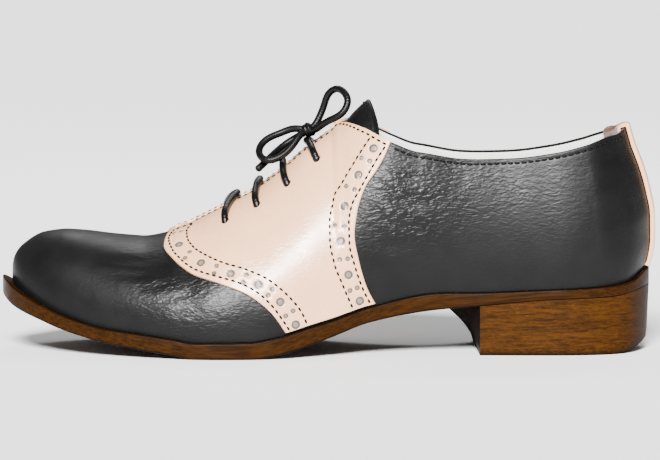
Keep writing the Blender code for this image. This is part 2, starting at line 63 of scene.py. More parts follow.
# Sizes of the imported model, in metres
SHOE_LENGTH = 0.272
BALL_WIDTH = 0.093
COLLAR_WIDTH = 0.056
INSTEP_HEIGHT = 0.077
HEEL_HEIGHT = 0.0235
TOE_SPRING = 0.023
HEEL_CURVE = 0.0124
BREAST_SWEEP = 0.019
SOLE_THICKNESS = 0.0065
SOLE_MARGIN = 0.003
TOP_PIECE_THICKNESS = 0.003
TOP_PIECE_ROLL = 0.005
INSOLE_THICKNESS = 0.002
UPPER_WALL = 0.002
SADDLE_THICKNESS = 0.0012
BACKSTAY_THICKNESS = 0.0015
BACKSTAY_WIDTH = 0.013
TONGUE_THICKNESS = 0.0022
TONGUE_RISE = 0.020
TONGUE_LEAN = 49
SLOT_WIDTH = 0.0088
EYELET_DIAMETER = 0.0036
KNOT_DIAMETER = 0.0046
GAP = 0.0003
THROAT_FRONT = 0.745
FACING_TOP = 0.49
THROAT_ROUNDING = 0.03
HEEL_CURVE_REACH = 0.30
BREAST = 0.271

SECTION_COLUMNS = ("along", "outer", "inner", "middle", "height", "collar", "slot",
                   "flare_outer", "flare_inner", "lift", "shoulder", "crown")
SECTIONS = (
    (0.00, 0.000, 0.000, 0.000, 0.761, 0.000, 0.0, 0.000, 0.000, 0.36, 0.000, 0.72),
    (0.01, 0.118, 0.118, 0.000, 0.770, 0.300, 0.0, 0.012, 0.012, 0.36, 0.012, 0.72),
    (0.04, 0.231, 0.231, 0.000, 0.786, 0.620, 0.0, 0.026, 0.026, 0.36, 0.024, 0.72),
    (0.09, 0.297, 0.294, 0.000, 0.757, 0.840, 0.0, 0.036, 0.036, 0.36, 0.034, 0.72),
    (0.15, 0.320, 0.312, 0.000, 0.726, 0.890, 0.0, 0.038, 0.040, 0.36, 0.036, 0.72),
    (0.22, 0.317, 0.301, 0.000, 0.709, 0.890, 0.0, 0.040, 0.046, 0.36, 0.038, 0.72),
    (0.30, 0.312, 0.269, 0.002, 0.714, 0.930, 0.0, 0.040, 0.058, 0.37, 0.038, 0.72),
    (0.37, 0.326, 0.267, 0.005, 0.765, 0.970, 0.1, 0.040, 0.064, 0.38, 0.038, 0.74),
    (0.41, 0.344, 0.280, 0.008, 0.844, 0.930, 0.4, 0.038, 0.062, 0.40, 0.042, 0.78),
    (0.45, 0.368, 0.310, 0.011, 0.942, 0.690, 0.7, 0.034, 0.056, 0.44, 0.080, 0.87),
    (0.47, 0.383, 0.326, 0.013, 0.981, 0.430, 0.8, 0.032, 0.053, 0.46, 0.125, 0.92),
    (0.48, 0.391, 0.335, 0.014, 0.995, 0.240, 0.9, 0.031, 0.052, 0.47, 0.152, 0.940),
    (0.49, 0.398, 0.343, 0.015, 1.000, 0.080, 1.0, 0.030, 0.050, 0.48, 0.172, 0.952),
    (0.50, 0.405, 0.351, 0.016, 0.974, 0.000, 1.0, 0.030, 0.049, 0.49, 0.182, 0.955),
    (0.54, 0.433, 0.383, 0.019, 0.909, 0.000, 1.0, 0.030, 0.044, 0.50, 0.190, 0.955),
    (0.60, 0.469, 0.432, 0.024, 0.790, 0.000, 1.0, 0.030, 0.038, 0.52, 0.205, 0.96),
    (0.67, 0.482, 0.469, 0.029, 0.665, 0.000, 1.0, 0.032, 0.034, 0.54, 0.235, 0.97),
    (0.74, 0.459, 0.480, 0.034, 0.545, 0.000, 1.0, 0.034, 0.034, 0.55, 0.265, 0.99),
    (0.76, 0.448, 0.477, 0.036, 0.512, 0.000, 1.0, 0.034, 0.034, 0.55, 0.272, 1.00),
    (0.80, 0.418, 0.465, 0.040, 0.473, 0.000, 1.0, 0.032, 0.032, 0.56, 0.280, 1.00),
    (0.86, 0.357, 0.424, 0.046, 0.466, 0.000, 1.0, 0.028, 0.028, 0.57, 0.255, 1.00),
    (0.91, 0.292, 0.362, 0.050, 0.434, 0.000, 1.0, 0.024, 0.024, 0.58, 0.210, 1.00),
    (0.95, 0.214, 0.288, 0.052, 0.362, 0.000, 1.0, 0.020, 0.020, 0.58, 0.160, 1.00),
    (0.98, 0.118, 0.196, 0.053, 0.252, 0.000, 1.0, 0.014, 0.014, 0.56, 0.100, 1.00),
    (1.00, -0.054, 0.054, 0.054, 0.070, 0.000, 1.0, 0.000, 0.000, 0.50, 0.000, 1.00),
)

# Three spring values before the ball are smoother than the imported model's
SOLE_COLUMNS = ("along", "heel", "spring", "thickness", "margin")
SOLE = (
    (0.0000, 1.180, 0.000, 1.10, 0.67),
    (0.0125, 1.165, 0.000, 1.07, 0.67),
    (0.0400, 1.081, 0.000, 0.67, 0.65),
    (0.0700, 1.020, 0.000, 0.68, 0.62),
    (0.1000, 1.005, 0.000, 0.64, 0.60),
    (0.1500, 0.990, 0.000, 0.60, 0.58),
    (0.2700, 0.872, 0.000, 0.82, 0.55),
    (0.3500, 0.790, 0.000, 1.05, 0.55),
    (0.4400, 0.600, 0.000, 0.93, 0.60),
    (0.4900, 0.390, 0.000, 0.98, 0.70),
    (0.5350, 0.205, 0.000, 1.10, 0.80),
    (0.5800, 0.060, 0.000, 1.10, 0.90),
    (0.6200, 0.000, 0.000, 1.05, 0.97),
    (0.7000, 0.000, 0.000, 1.00, 1.00),
    (0.7400, 0.000, 0.075, 0.98, 1.00),
    (0.7900, 0.000, 0.165, 0.95, 1.00),
    (0.8500, 0.000, 0.290, 0.84, 1.00),
    (0.9100, 0.000, 0.487, 0.89, 1.05),
    (0.9400, 0.000, 0.620, 0.98, 1.10),
    (0.9650, 0.000, 0.730, 1.11, 1.17),
    (0.9800, 0.000, 0.810, 1.20, 1.23),
    (0.9920, 0.000, 0.910, 1.22, 1.30),
    (1.0000, 0.000, 1.000, 1.15, 1.33),
)

HEEL_LINE = ((0.00, 0.380), (0.09, 0.234), (0.22, 0.153), (0.38, 0.161),
             (0.55, 0.306), (0.71, 0.524), (0.87, 0.815), (1.00, 1.000))

# The saddle's edges: rise, share of the length at the front edge and at the back edge
SADDLE = (
    (0.00, 0.572, 0.435), (0.10, 0.593, 0.451), (0.21, 0.626, 0.462),
    (0.31, 0.673, 0.468), (0.41, 0.715, 0.464), (0.55, 0.746, 0.452),
    (0.70, 0.761, 0.434), (0.85, 0.757, 0.421), (1.00, 0.727, 0.412),
)

# Eyelets: share of the length, rise, and where the lace crosses the throat
EYELETS = ((0.665, 0.75, 0.656), (0.616, 0.76, 0.615), (0.569, 0.76, 0.574), (0.524, 0.78, 0.533))

TONGUE_TOP = ((0.2, 0.98), (0.4, 0.96), (0.6, 0.95), (0.8, 0.93), (0.93, 0.88), (1.0, 0.76))

# The saddle's stitch rows as (share of the length, rise)
STITCH_ROWS = (
    ((.714, .922), (.735, .900), (.749, .838), (.753, .756), (.748, .640), (.732, .518),
     (.704, .412), (.672, .342),
     (.646, .294), (.620, .234), (.595, .144), (.580, .074), (.568, .014)),
    ((.716, .912), (.725, .816), (.724, .726), (.714, .612), (.691, .498), (.666, .420),
     (.635, .356), (.610, .296), (.585, .216), (.564, .136), (.549, .066), (.542, .018)),
    ((.419, .938), (.440, .704), (.457, .546), (.472, .430), (.476, .354), (.476, .278),
     (.469, .190), (.457, .090), (.445, .016)),
    ((.441, .932), (.463, .694), (.484, .540), (.499, .472), (.506, .386), (.506, .314),
     (.500, .216), (.485, .106), (.472, .018)),
)

# Perforations as (share of the length, rise)
LARGE_HOLES = (
    (.737, .670), (.702, .470), (.657, .352), (.615, .260), (.582, .148), (.559, .032),
    (.438, .846), (.461, .606), (.482, .432), (.489, .288), (.478, .154), (.461, .040),
)
SMALL_HOLES = (
    (.744, .834), (.720, .580), (.678, .420), (.633, .326), (.594, .216), (.563, .092),
    (.734, .838), (.727, .536), (.682, .378), (.638, .290), (.600, .194), (.574, .082),
    (.456, .720), (.479, .524), (.497, .360), (.491, .218), (.476, .092),
    (.444, .732), (.467, .520), (.483, .346), (.479, .216), (.465, .096),
)

# Soft creases: side, depth and half width in millimetres, and their line as (along, rise)
CREASES = (
    (OUTER, 0.22, 2.6, ((.765, .62), (.800, .57), (.840, .55), (.880, .57))),
    (OUTER, 0.18, 2.2, ((.752, .50), (.785, .44), (.825, .42), (.865, .44))),
    (OUTER, 0.16, 1.8, ((.735, .40), (.770, .35), (.810, .33))),
    (OUTER, 0.14, 1.7, ((.705, .32), (.742, .26), (.785, .23))),
    (OUTER, 0.12, 1.5, ((.670, .22), (.705, .17), (.745, .14))),
    (INNER, 0.22, 2.6, ((.770, .64), (.805, .58), (.845, .56), (.885, .58))),
    (INNER, 0.18, 2.2, ((.755, .48), (.790, .42), (.830, .40))),
    (INNER, 0.14, 1.8, ((.720, .33), (.760, .28), (.800, .26))),
    (OUTER, 0.20, 2.4, ((.440, .62), (.405, .58), (.365, .60), (.320, .66))),
    (OUTER, 0.16, 2.0, ((.455, .50), (.420, .44), (.375, .43), (.325, .47))),
    (OUTER, 0.14, 2.2, ((.450, .34), (.410, .30), (.365, .30))),
    (OUTER, 0.16, 2.0, ((.425, .78), (.390, .76), (.350, .80))),
    (INNER, 0.18, 2.4, ((.440, .60), (.400, .55), (.355, .57), (.310, .62))),
    (INNER, 0.15, 2.0, ((.450, .42), (.410, .38), (.365, .38))),
)

KNOT = (-0.0085, 0.0018, 0.0910)
LOOP_FRONT = (
    (-0.0090, 0.0022, 0.0912), (-0.0116, 0.0026, 0.0913), (-0.0148, 0.0036, 0.0913),
    (-0.0200, 0.0042, 0.0895),
    (-0.0247, 0.0030, 0.0876), (-0.0284, 0.0005, 0.0842), (-0.0284, -0.0035, 0.0805),
    (-0.0256, -0.0060, 0.0789), (-0.0215, -0.0062, 0.0797), (-0.0175, -0.0050, 0.0822),
    (-0.0138, -0.0028, 0.0865), (-0.0109, -0.0002, 0.0899), (-0.0090, 0.0012, 0.0908),
)
LOOP_REAR = (
    (-0.0080, 0.0022, 0.0912), (-0.0061, 0.0032, 0.0926), (-0.0040, 0.0042, 0.0960),
    (-0.0020, 0.0045, 0.1010),
    (-0.0003, 0.0036, 0.1055), (0.0029, 0.0016, 0.1080), (0.0063, -0.0018, 0.1068),
    (0.0078, -0.0048, 0.1032), (0.0054, -0.0062, 0.0984), (0.0006, -0.0048, 0.0955),
    (-0.0030, -0.0024, 0.0932), (-0.0059, -0.0003, 0.0912), (-0.0080, 0.0010, 0.0908),
)
END_FRONT = (
    (-0.0088, 0.0036, 0.0904), (-0.0100, 0.0050, 0.0896), (-0.0122, 0.0072, 0.0882),
    (-0.0165, 0.0078, 0.0856), (-0.0212, 0.0052, 0.0822), (-0.0256, 0.0004, 0.0784),
    (-0.0300, -0.0030, 0.0745),
)


def column(table, names, name):
    """One named column of a table."""
    return np.array([row[names.index(name)] for row in table], float)


def flow(keys, values, at):
    """A cubic curve through a table whose slope at each key is the weighted harmonic mean of the
    slopes beside it, or nothing where they differ in sign, so it never swings past its values."""
    at = np.clip(np.asarray(at, float), keys[0], keys[-1])
    step = np.diff(keys)
    slope = np.diff(values) / step
    same_way = slope[:-1] * slope[1:] > 0
    weight_a = 2 * step[1:] + step[:-1]
    weight_b = step[1:] + 2 * step[:-1]
    safe_a = np.where(same_way, slope[:-1], 1.0)
    safe_b = np.where(same_way, slope[1:], 1.0)
    inner = np.where(same_way, (weight_a + weight_b) / (weight_a / safe_a + weight_b / safe_b), 0.0)
    tangent = np.concatenate([[slope[0]], inner, [slope[-1]]])
    i = np.clip(np.searchsorted(keys, at, side="right") - 1, 0, len(step) - 1)
    h = step[i]
    u = (at - keys[i]) / h
    return (values[i] * (1 + 2 * u) * (1 - u) ** 2 + tangent[i] * h * u * (1 - u) ** 2
            + values[i + 1] * u * u * (3 - 2 * u) + tangent[i + 1] * h * u * u * (u - 1))


def turn_of(along):
    """A share of a length as an angle: the share is (1 - cos angle) / 2."""
    return np.arccos(np.clip(1 - 2 * np.asarray(along, float), -1, 1))


def along_of(turn):
    """The share of a length at an angle."""
    return (1 - np.cos(turn)) / 2


SECTION_TURNS = turn_of(column(SECTIONS, SECTION_COLUMNS, "along"))
UPPER_LENGTH = SHOE_LENGTH - SOLE[-1][-1] * SOLE_MARGIN


def section_share(name, turn):
    """A column of the section table at an angle."""
    return flow(SECTION_TURNS, column(SECTIONS, SECTION_COLUMNS, name), turn)


def sole_share(name, distance):
    """A column of the sole table at a distance from the heel."""
    along = np.asarray(distance, float) / SHOE_LENGTH
    return flow(column(SOLE, SOLE_COLUMNS, "along"), column(SOLE, SOLE_COLUMNS, name), along)


def sole_bottom(distance):
    """The underside's height: the heel's share of its height plus the toe's of its spring."""
    return sole_share("heel", distance) * HEEL_HEIGHT + sole_share("spring", distance) * TOE_SPRING


def sole_top(distance):
    """The underside's height plus the sole's thickness there."""
    return sole_bottom(distance) + sole_share("thickness", distance) * SOLE_THICKNESS


def heel_inset(height):
    """How far the back seam stands forward, from its table by share of the height."""
    keys, inset = np.array(HEEL_LINE).T
    return HEEL_CURVE * flow(keys, inset, height)


def heel_fade(along):
    """The back seam's curve fades with the square of the distance left to its reach."""
    return np.clip(1 - along / HEEL_CURVE_REACH, 0, 1) ** 2


def feather(side, turn):
    """Plan line where the upper meets the sole: distance from the heel, and y."""
    along = along_of(turn)
    distance = along * UPPER_LENGTH + heel_fade(along) * heel_inset(0.0)
    width = section_share("outer" if side == OUTER else "inner", turn) * BALL_WIDTH
    return distance, side * width


def moved_out(side, turn, amount):
    """The feather line moved square to itself in plan."""
    small = 1e-4
    before, after = feather(side, turn - small), feather(side, turn + small)
    pole = np.abs(np.sin(turn)) < 1e-6
    run_d = np.where(pole, 0.0, after[0] - before[0])
    run_y = np.where(pole, np.where(turn < 1, side, -side) * 1.0, after[1] - before[1])
    size = np.hypot(run_d, run_y)
    distance, y = feather(side, turn)
    return distance - side * run_y / size * amount, y + side * run_d / size * amount


def sole_edge(side, turn, inset=0.0):
    """The outsole's edge: the feather line moved out by the margin, less an inset."""
    margin = sole_share("margin", along_of(turn) * SHOE_LENGTH) * SOLE_MARGIN
    return moved_out(side, turn, margin - inset)


def ease(share):
    """0 below 0, 1 above 1, and 3 t2 - 2 t3 between."""
    t = np.clip(share, 0, 1)
    return t * t * (3 - 2 * t)


def slot_half(turn):
    """Half the throat's width, closing on a quarter circle at its front end."""
    left = np.clip((THROAT_FRONT - along_of(turn)) / THROAT_ROUNDING, 0, 1)
    return section_share("slot", turn) * SLOT_WIDTH / 2 * np.sqrt(1 - (1 - left) ** 2)


def upper_point(side, turn, rise):
    """The upper's outer face. A section is a cubic Bezier curve in rise through the feather, a
    point flared out above it, the shoulder, and the top edge or the ridge of the vamp."""
    turn, rise = np.broadcast_arrays(np.asarray(turn, float), np.asarray(rise, float))
    along = along_of(turn)
    foot_d, foot_y = feather(side, turn)
    flare = section_share("flare_outer" if side == OUTER else "flare_inner", turn) * BALL_WIDTH
    soft = section_share("slot", turn) * SLOT_WIDTH / 2 * ease((THROAT_FRONT + 0.04 - along) / 0.16)
    slot = soft + (slot_half(turn) - soft) * ease((rise - 0.5) / 0.5)
    top_half = section_share("collar", turn) * COLLAR_WIDTH / 2 + slot
    top_y = section_share("middle", turn) * BALL_WIDTH + side * top_half
    shoulder_y = top_y + side * section_share("shoulder", turn) * BALL_WIDTH
    b0, b1 = (1 - rise) ** 3, 3 * rise * (1 - rise) ** 2
    b2, b3 = 3 * rise * rise * (1 - rise), rise ** 3
    y = b0 * foot_y + b1 * (foot_y + side * flare) + b2 * shoulder_y + b3 * top_y
    height = b1 * section_share("lift", turn) + b2 * section_share("crown", turn) + b3
    z = sole_top(foot_d) + GAP + height * section_share("height", turn) * INSTEP_HEIGHT
    distance = along * UPPER_LENGTH + heel_fade(along) * heel_inset(height)
    return np.stack([SHOE_LENGTH / 2 - distance, y, z], axis=-1)


def upper_normal(side, turn, rise):
    """Out of the upper: the cross product of the steps along it and up it."""
    small = 1e-3
    turn, rise = np.broadcast_arrays(np.asarray(turn, float), np.asarray(rise, float))
    low, high = np.clip(turn - small, 0, math.pi), np.clip(turn + small, 0, math.pi)
    along = upper_point(side, high, rise) - upper_point(side, low, rise)
    along[..., 0] = np.where(np.sin(turn) < 1e-6, 0.0, along[..., 0])
    up = upper_point(side, turn, np.clip(rise + small, 0, 1)) - upper_point(
        side, turn, np.clip(rise - small, 0, 1))
    normal = side * np.cross(along, up)
    return normal / np.linalg.norm(normal, axis=-1, keepdims=True)


def off_upper(side, turn, rise, distance):
    """A point at a distance off the upper's outer face, along its normal."""
    distance = np.broadcast_to(distance, np.broadcast(turn, rise).shape)
    return upper_point(side, turn, rise) + distance[..., None] * upper_normal(side, turn, rise)


def close_at_ends(count, closeness=0.85):
    """Shares from 0 to 1 that lie closer at both ends: s - closeness sin(2 pi s) / (2 pi)."""
    share = np.linspace(0, 1, count)
    return share - closeness * np.sin(2 * math.pi * share) / (2 * math.pi)


def run_along(points, axis):
    """Distance travelled over a grid of points along one axis, from its start."""
    steps = np.linalg.norm(np.diff(points, axis=axis), axis=-1)
    pad = [(0, 0)] * steps.ndim
    pad[axis] = (1, 0)
    return np.pad(np.cumsum(steps, axis=axis), pad)


def edge_fall(distance, radius):
    """How far a quarter-round edge lies below the face: r - sqrt(r2 - (r - d)2) within r of it."""
    left = np.clip(1 - distance / radius, 0, 1)
    return radius * (1 - np.sqrt(np.clip(1 - left ** 2, 0, 1)))


def smooth_path(points, count):
    """A natural cubic spline through points, evenly spaced in chord length: its second
    derivatives solve the usual three-term equations, and are nothing at both ends."""
    points = np.asarray(points, float)
    keys = np.concatenate([[0], np.cumsum(np.linalg.norm(np.diff(points, axis=0), axis=1))])
    h = np.diff(keys)
    size = len(points)
    system, right = np.eye(size), np.zeros((size, 3))
    inner = np.arange(1, size - 1)
    system[inner, inner - 1] = h[:-1]
    system[inner, inner] = 2 * (h[:-1] + h[1:])
    system[inner, inner + 1] = h[1:]
    slope = np.diff(points, axis=0) / h[:, None]
    right[1:-1] = 6 * np.diff(slope, axis=0)
    bend = np.linalg.solve(system, right)
    at = np.linspace(0, keys[-1], count)
    i = np.clip(np.searchsorted(keys, at, side="right") - 1, 0, size - 2)
    left, ahead, step = (at - keys[i])[:, None], (keys[i + 1] - at)[:, None], h[i][:, None]
    return (bend[i] * ahead ** 3 / 6 + bend[i + 1] * left ** 3 / 6
            + (points[i] - bend[i] * step ** 2 / 6) * ahead
            + (points[i + 1] - bend[i + 1] * step ** 2 / 6) * left) / step


def piece_from(name, vertices, triangles, material, slot, marks=None, sharp=40):
    """A piece of the shoe from points and triangles, with doubles merged and faces turned out.
    Marks are named values at each point for its material to read."""
    mesh = bpy.data.meshes.new(name)
    mesh.from_pydata(vertices, [], triangles)
    for key, values in (marks or {}).items():
        values = np.asarray(values, np.float32)
        kind = "FLOAT" if values.ndim == 1 else "FLOAT_VECTOR"
        field = mesh.attributes.new(key, kind, "POINT").data
        field.foreach_set("value" if values.ndim == 1 else "vector", values.ravel())
    body = bmesh.new()
    body.from_mesh(mesh)
    bmesh.ops.remove_doubles(body, verts=body.verts, dist=2e-6)
    bmesh.ops.dissolve_degenerate(body, edges=body.edges, dist=1e-7)
    bmesh.ops.recalc_face_normals(body, faces=body.faces)
    body.to_mesh(mesh)
    body.free()
    mesh.materials.append(material)
    mesh.shade_smooth()
    mesh.set_sharp_from_angle(angle=math.radians(sharp))
    piece = bpy.data.objects.new(name, mesh)
    bpy.context.scene.collection.objects.link(piece)
    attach(piece, "root")
    return piece


def split(quads):
    """Two triangles from each quad."""
    return np.concatenate([quads[:, [0, 1, 2]], quads[:, [0, 2, 3]]])


def grid_quads(number):
    """The quads between neighbouring points of a grid of point numbers."""
    return np.stack([number[:-1, :-1], number[1:, :-1], number[1:, 1:], number[:-1, 1:]],
                    -1).reshape(-1, 4)


def layers(sheets):
    """Points and triangles of a closed solid: the first and last sheets are its faces, and the
    rims of all sheets, joined in order, are its wall."""
    rows, across = sheets[0].shape[:2]
    count = rows * across
    number = np.arange(count).reshape(rows, across)
    rim = np.concatenate([number[0, :-1], number[:-1, -1], number[-1, :0:-1], number[:0:-1, 0]])
    quads = [grid_quads(number)[:, ::-1], grid_quads(number + count * (len(sheets) - 1))]
    for level in range(len(sheets) - 1):
        a = rim + level * count
        b = a + count
        quads.append(np.stack([a, np.roll(a, -1), np.roll(b, -1), b], -1))
    return np.concatenate([s.reshape(-1, 3) for s in sheets]), split(np.concatenate(quads))


def laid(piece_name, sheets, material, slot, marks=None, sharp=40):
    """A piece made of layers, dropping the points that no face uses."""
    vertices, triangles = layers(sheets)
    used, index = np.unique(triangles, return_inverse=True)
    marks = {key: np.asarray(value)[used] for key, value in (marks or {}).items()}
    return piece_from(piece_name, vertices[used], index.reshape(-1, 3), material, slot, marks,
                      sharp)


class Pattern:
    """One socket of a material. Sums on it add Math nodes, so a finish reads as a formula."""

    def __init__(self, tree, output=None):
        self.tree = tree
        self.output = output

    def add(self, kind, settings=None, values=None, output=0):
        """A node of a kind, its settings first, then the values or links of its sockets."""
        node = self.tree.nodes.new(kind)
        for key, value in (settings or {}).items():
            setattr(node, key, value)
        for key, value in (values or {}).items():
            if isinstance(value, Pattern):
                self.tree.links.new(value.output, node.inputs[key])
            else:
                node.inputs[key].default_value = value
        return Pattern(self.tree, node.outputs[output])

    def sum(self, operation, *values):
        return self.add("ShaderNodeMath", {"operation": operation}, dict(enumerate(values)))

    def __add__(self, other):
        return self.sum("ADD", self, other)

    def __sub__(self, other):
        return self.sum("SUBTRACT", self, other)

    def __rsub__(self, other):
        return self.sum("SUBTRACT", other, self)

    def __mul__(self, other):
        return self.sum("MULTIPLY", self, other)

    __radd__ = __add__
    __rmul__ = __mul__

    def at_least(self, other):
        return self.sum("MAXIMUM", self, other)

    def at_most(self, other):
        return self.sum("MINIMUM", self, other)

    def wave(self):
        return self.sum("SINE", self)

    def ramp(self, low, high, start=0.0, end=1.0):
        """A smooth step from start to end as the value goes from low to high."""
        return self.add("ShaderNodeMapRange", {"interpolation_type": "SMOOTHSTEP"}, {
            "Value": self, "From Min": low, "From Max": high, "To Min": start, "To Max": end})

    def blend(self, first, second):
        """The first colour where this is 0 and the second where it is 1."""
        return self.add("ShaderNodeMix", {"data_type": "RGBA"}, {0: self, 6: first, 7: second}, 2)

    def place(self):
        """Object coordinates in millimetres."""
        where = self.add("ShaderNodeTexCoord", output=3)
        return self.add("ShaderNodeVectorMath", {"operation": "SCALE"}, {0: where, "Scale": 1000.0})

    def mark(self, name, output=2):
        """A named value of the piece; output 1 is a vector."""
        return self.add("ShaderNodeAttribute", {"attribute_name": name}, output=output)

    def stretch(self, scale, turned=(0, 0, 0)):
        """A vector turned and stretched."""
        return self.add("ShaderNodeMapping", {},
                        {"Vector": self, "Rotation": turned, "Scale": scale})

    def noise(self, size, detail=2.0, rough=0.5, bent=0.0):
        """Cloudy noise whose blots are about size across, in the vector's units."""
        return self.add("ShaderNodeTexNoise", {}, {
            "Vector": self, "Scale": 1 / size, "Detail": detail, "Roughness": rough,
            "Distortion": bent})

    def cells(self, size):
        """Distance to the nearest of scattered points about size apart, smoothed between them."""
        return self.add(
            "ShaderNodeTexVoronoi", {"feature": "SMOOTH_F1"}, {"Vector": self, "Scale": 1 / size})

    def bump(self, depth):
        """A normal from this as a height, in units of depth millimetres."""
        return self.add("ShaderNodeBump", {}, {
            "Height": self, "Distance": depth * MM, "Strength": 1.0})


def finish(name, colour, roughness, normal=None, view_colour=(0.5, 0.5, 0.5), **fixed):
    """A Principled material from patterns or plain values; names in fixed are its other sockets."""
    material = bpy.data.materials.new(name)
    material.use_nodes = True
    tree = material.node_tree
    shader = tree.nodes["Principled BSDF"]
    root = Pattern(tree)
    sockets = {"Base Color": colour, "Roughness": roughness, "Normal": normal}
    sockets.update({key.replace("_", " "): value for key, value in fixed.items()})
    for key, value in sockets.items():
        if callable(value):
            value = value(root)
        if isinstance(value, Pattern):
            tree.links.new(value.output, shader.inputs[key])
        elif value is not None:
            shader.inputs[key].default_value = (*value, 1.0) if isinstance(value, tuple) else value
    material.diffuse_color = (*view_colour, 1.0)
    return material


def rgb(colour, factor=1.0):
    """A colour, made lighter or darker, as a socket takes it."""
    return (*[min(1.0, c * factor) for c in colour], 1.0)


def leather_height(root, grain, ripple, marked):
    """Relief of dressed leather: fine pebbles, and ripples where it is marked as worked."""
    place = root.place()
    pebbles = place.cells(grain) * 0.6 + place.noise(grain * 0.55, 2.0) * 0.4
    ripples = place.stretch((0.62, 1.0, 1.45), (0.0, 0.35, 0.0)).noise(ripple, 1.0, 0.4, 0.8)
    folds = place.stretch((0.5, 1.0, 1.5), (0.0, 0.3, 0.0)).noise(ripple * 2.2, 2.0, 0.5, 0.6)
    worked = root.mark(marked)
    return pebbles * (worked * 0.2 + 0.16) + ripples * (worked * 2.6
                                                        + 0.22) + folds * (worked * 0.7)


def black_leather(colours):
    """Dressed black leather: near black, clouded gloss, pebbled and rippled where it is worked."""
    base = tuple(colours.black_leather)

    def colour(root):
        cloud = root.place().noise(14.0, 3.0)
        fleck = root.place().noise(1.1, 2.0)
        return (cloud.ramp(0.35, 0.7) * 0.7 + fleck * 0.3).blend(rgb(base, 0.8), rgb(base, 1.35))

    return finish(
        "black_leather_dressed", colour,
        lambda root: root.place().noise(9.0, 3.0).ramp(0.3, 0.7, 0.40, 0.48)
        - root.mark("worked") * 0.14,
        lambda root: leather_height(root, 1.0, 1.8, "worked").bump(0.19),
        view_colour=base, Specular_IOR_Level=0.16, Coat_Roughness=0.34,
        Coat_Weight=lambda root: root.mark("worked").ramp(0.1, 0.9) * 0.12)


def blush_leather(colours):
    """Glossy light leather: faint mottling, fine ripples, greyed perforations with painted shade
    darkening their rims, and dark eyelets.
    """
    base = tuple(colours.blush_leather)

    def colour(root):
        cloud = root.place().noise(11.0, 3.0)
        fine = root.place().stretch((1.0, 1.0, 1.7)).noise(2.2, 3.0)
        skin = (cloud.ramp(0.3, 0.72) * 0.6 + fine.ramp(0.3, 0.7) * 0.4).blend(
            rgb(base, 0.93), rgb(base, 1.05))
        punch = root.mark("punch")
        # Painted shade: each perforation's grey floor darkens towards its rim.
        ring = punch.ramp(0.42, 0.80)
        dish = 1 - punch.ramp(0.95, 1.08)
        skin = root.mark("shade").blend(skin, rgb(base, 0.14))
        grey = tuple(colours.perforation)
        holed = dish.blend(skin, ring.blend(rgb(grey, 1.0), rgb(grey, 0.34)))
        return (1 - root.mark("eyelet").ramp(0.8, 1.05)).blend(holed, rgb(tuple(colours.thread)))

    def normal(root):
        return leather_height(root, 0.9, 1.6, "worked").bump(0.09)

    return finish(
        "blush_leather_glazed", colour,
        lambda root: root.place().noise(7.0, 3.0).ramp(0.3, 0.7, 0.27, 0.36), normal,
        view_colour=base, Coat_Roughness=0.2,
        Coat_Weight=lambda root: root.mark("punch").ramp(0.95, 1.1) * 0.35)


def sole_leather(colours):
    """A stained sole edge: long grain along the edge, with top and bottom corners darkened, partly
    burnish and partly painted shade.
    """
    base = tuple(colours.sole_edge)

    def colour(root):
        lines = root.mark("lie", 1).stretch((0.03, 1.0, 1.0)).noise(0.8, 4.0, 0.65)
        blots = root.mark("lie", 1).stretch((0.2, 1.0, 1.0)).noise(3.0, 2.0)
        tone = (lines.ramp(0.36, 0.64) * 0.75 + blots * 0.25).blend(rgb(base, 0.5), rgb(base, 1.7))
        level = root.mark("level")
        # Painted shade over the edge's burnish: dark along the top corner, where the sole meets the
        # upper, and along the bottom corner.
        burnish_and_shade = (1 - level.ramp(0.02, 0.17)).at_least(level.ramp(0.86, 0.99))
        return burnish_and_shade.blend(tone, rgb(base, 0.22))

    def normal(root):
        return root.mark("lie", 1).stretch((0.04, 1.0, 1.0)).noise(0.4, 3.0).bump(0.07)

    return finish("sole_leather_edge", colour,
                  lambda root: root.place().noise(5.0, 2.0).ramp(0.3, 0.7, 0.38, 0.5), normal,
                  view_colour=base, Specular_IOR_Level=0.05)


def heel_leather(colours):
    """Stacked heel: flecked fibre in level layers, with painted shade darkening the back and the
    breast.
    """
    base = tuple(colours.heel)

    def colour(root):
        place = root.place()
        fibre = place.stretch((0.11, 0.11, 1.0)).noise(0.75, 5.0, 0.75)
        bands = place.stretch((0.02, 0.02, 1.0)).noise(1.5, 3.0)
        fleck = place.stretch((0.4, 0.4, 1.3)).noise(0.7, 3.0, 0.7)
        tone = (fibre.ramp(0.36, 0.64) * 0.55 + bands.ramp(0.3, 0.7) * 0.2
                + fleck.ramp(0.5, 0.72) * 0.45
                ).at_most(1.0).blend(rgb(base, 0.38), rgb(base, 2.1))
        # Painted shade: darker towards the back of the heel, and near black on the breast.
        dark = root.mark("back").ramp(0.0, 1.0) * 0.8
        return root.mark("breast").ramp(0.3, 0.9).blend(
            dark.blend(tone, rgb(base, 0.25)), rgb(base, 0.11))

    def normal(root):
        return root.place().stretch((0.16, 0.16, 1.0)).noise(0.3, 4.0, 0.7).bump(0.08)

    return finish("stacked_heel_fibre", colour, lambda root: root.mark("breast") * 0.4 + 0.5,
                  normal, view_colour=base,
                  Specular_IOR_Level=0.05)


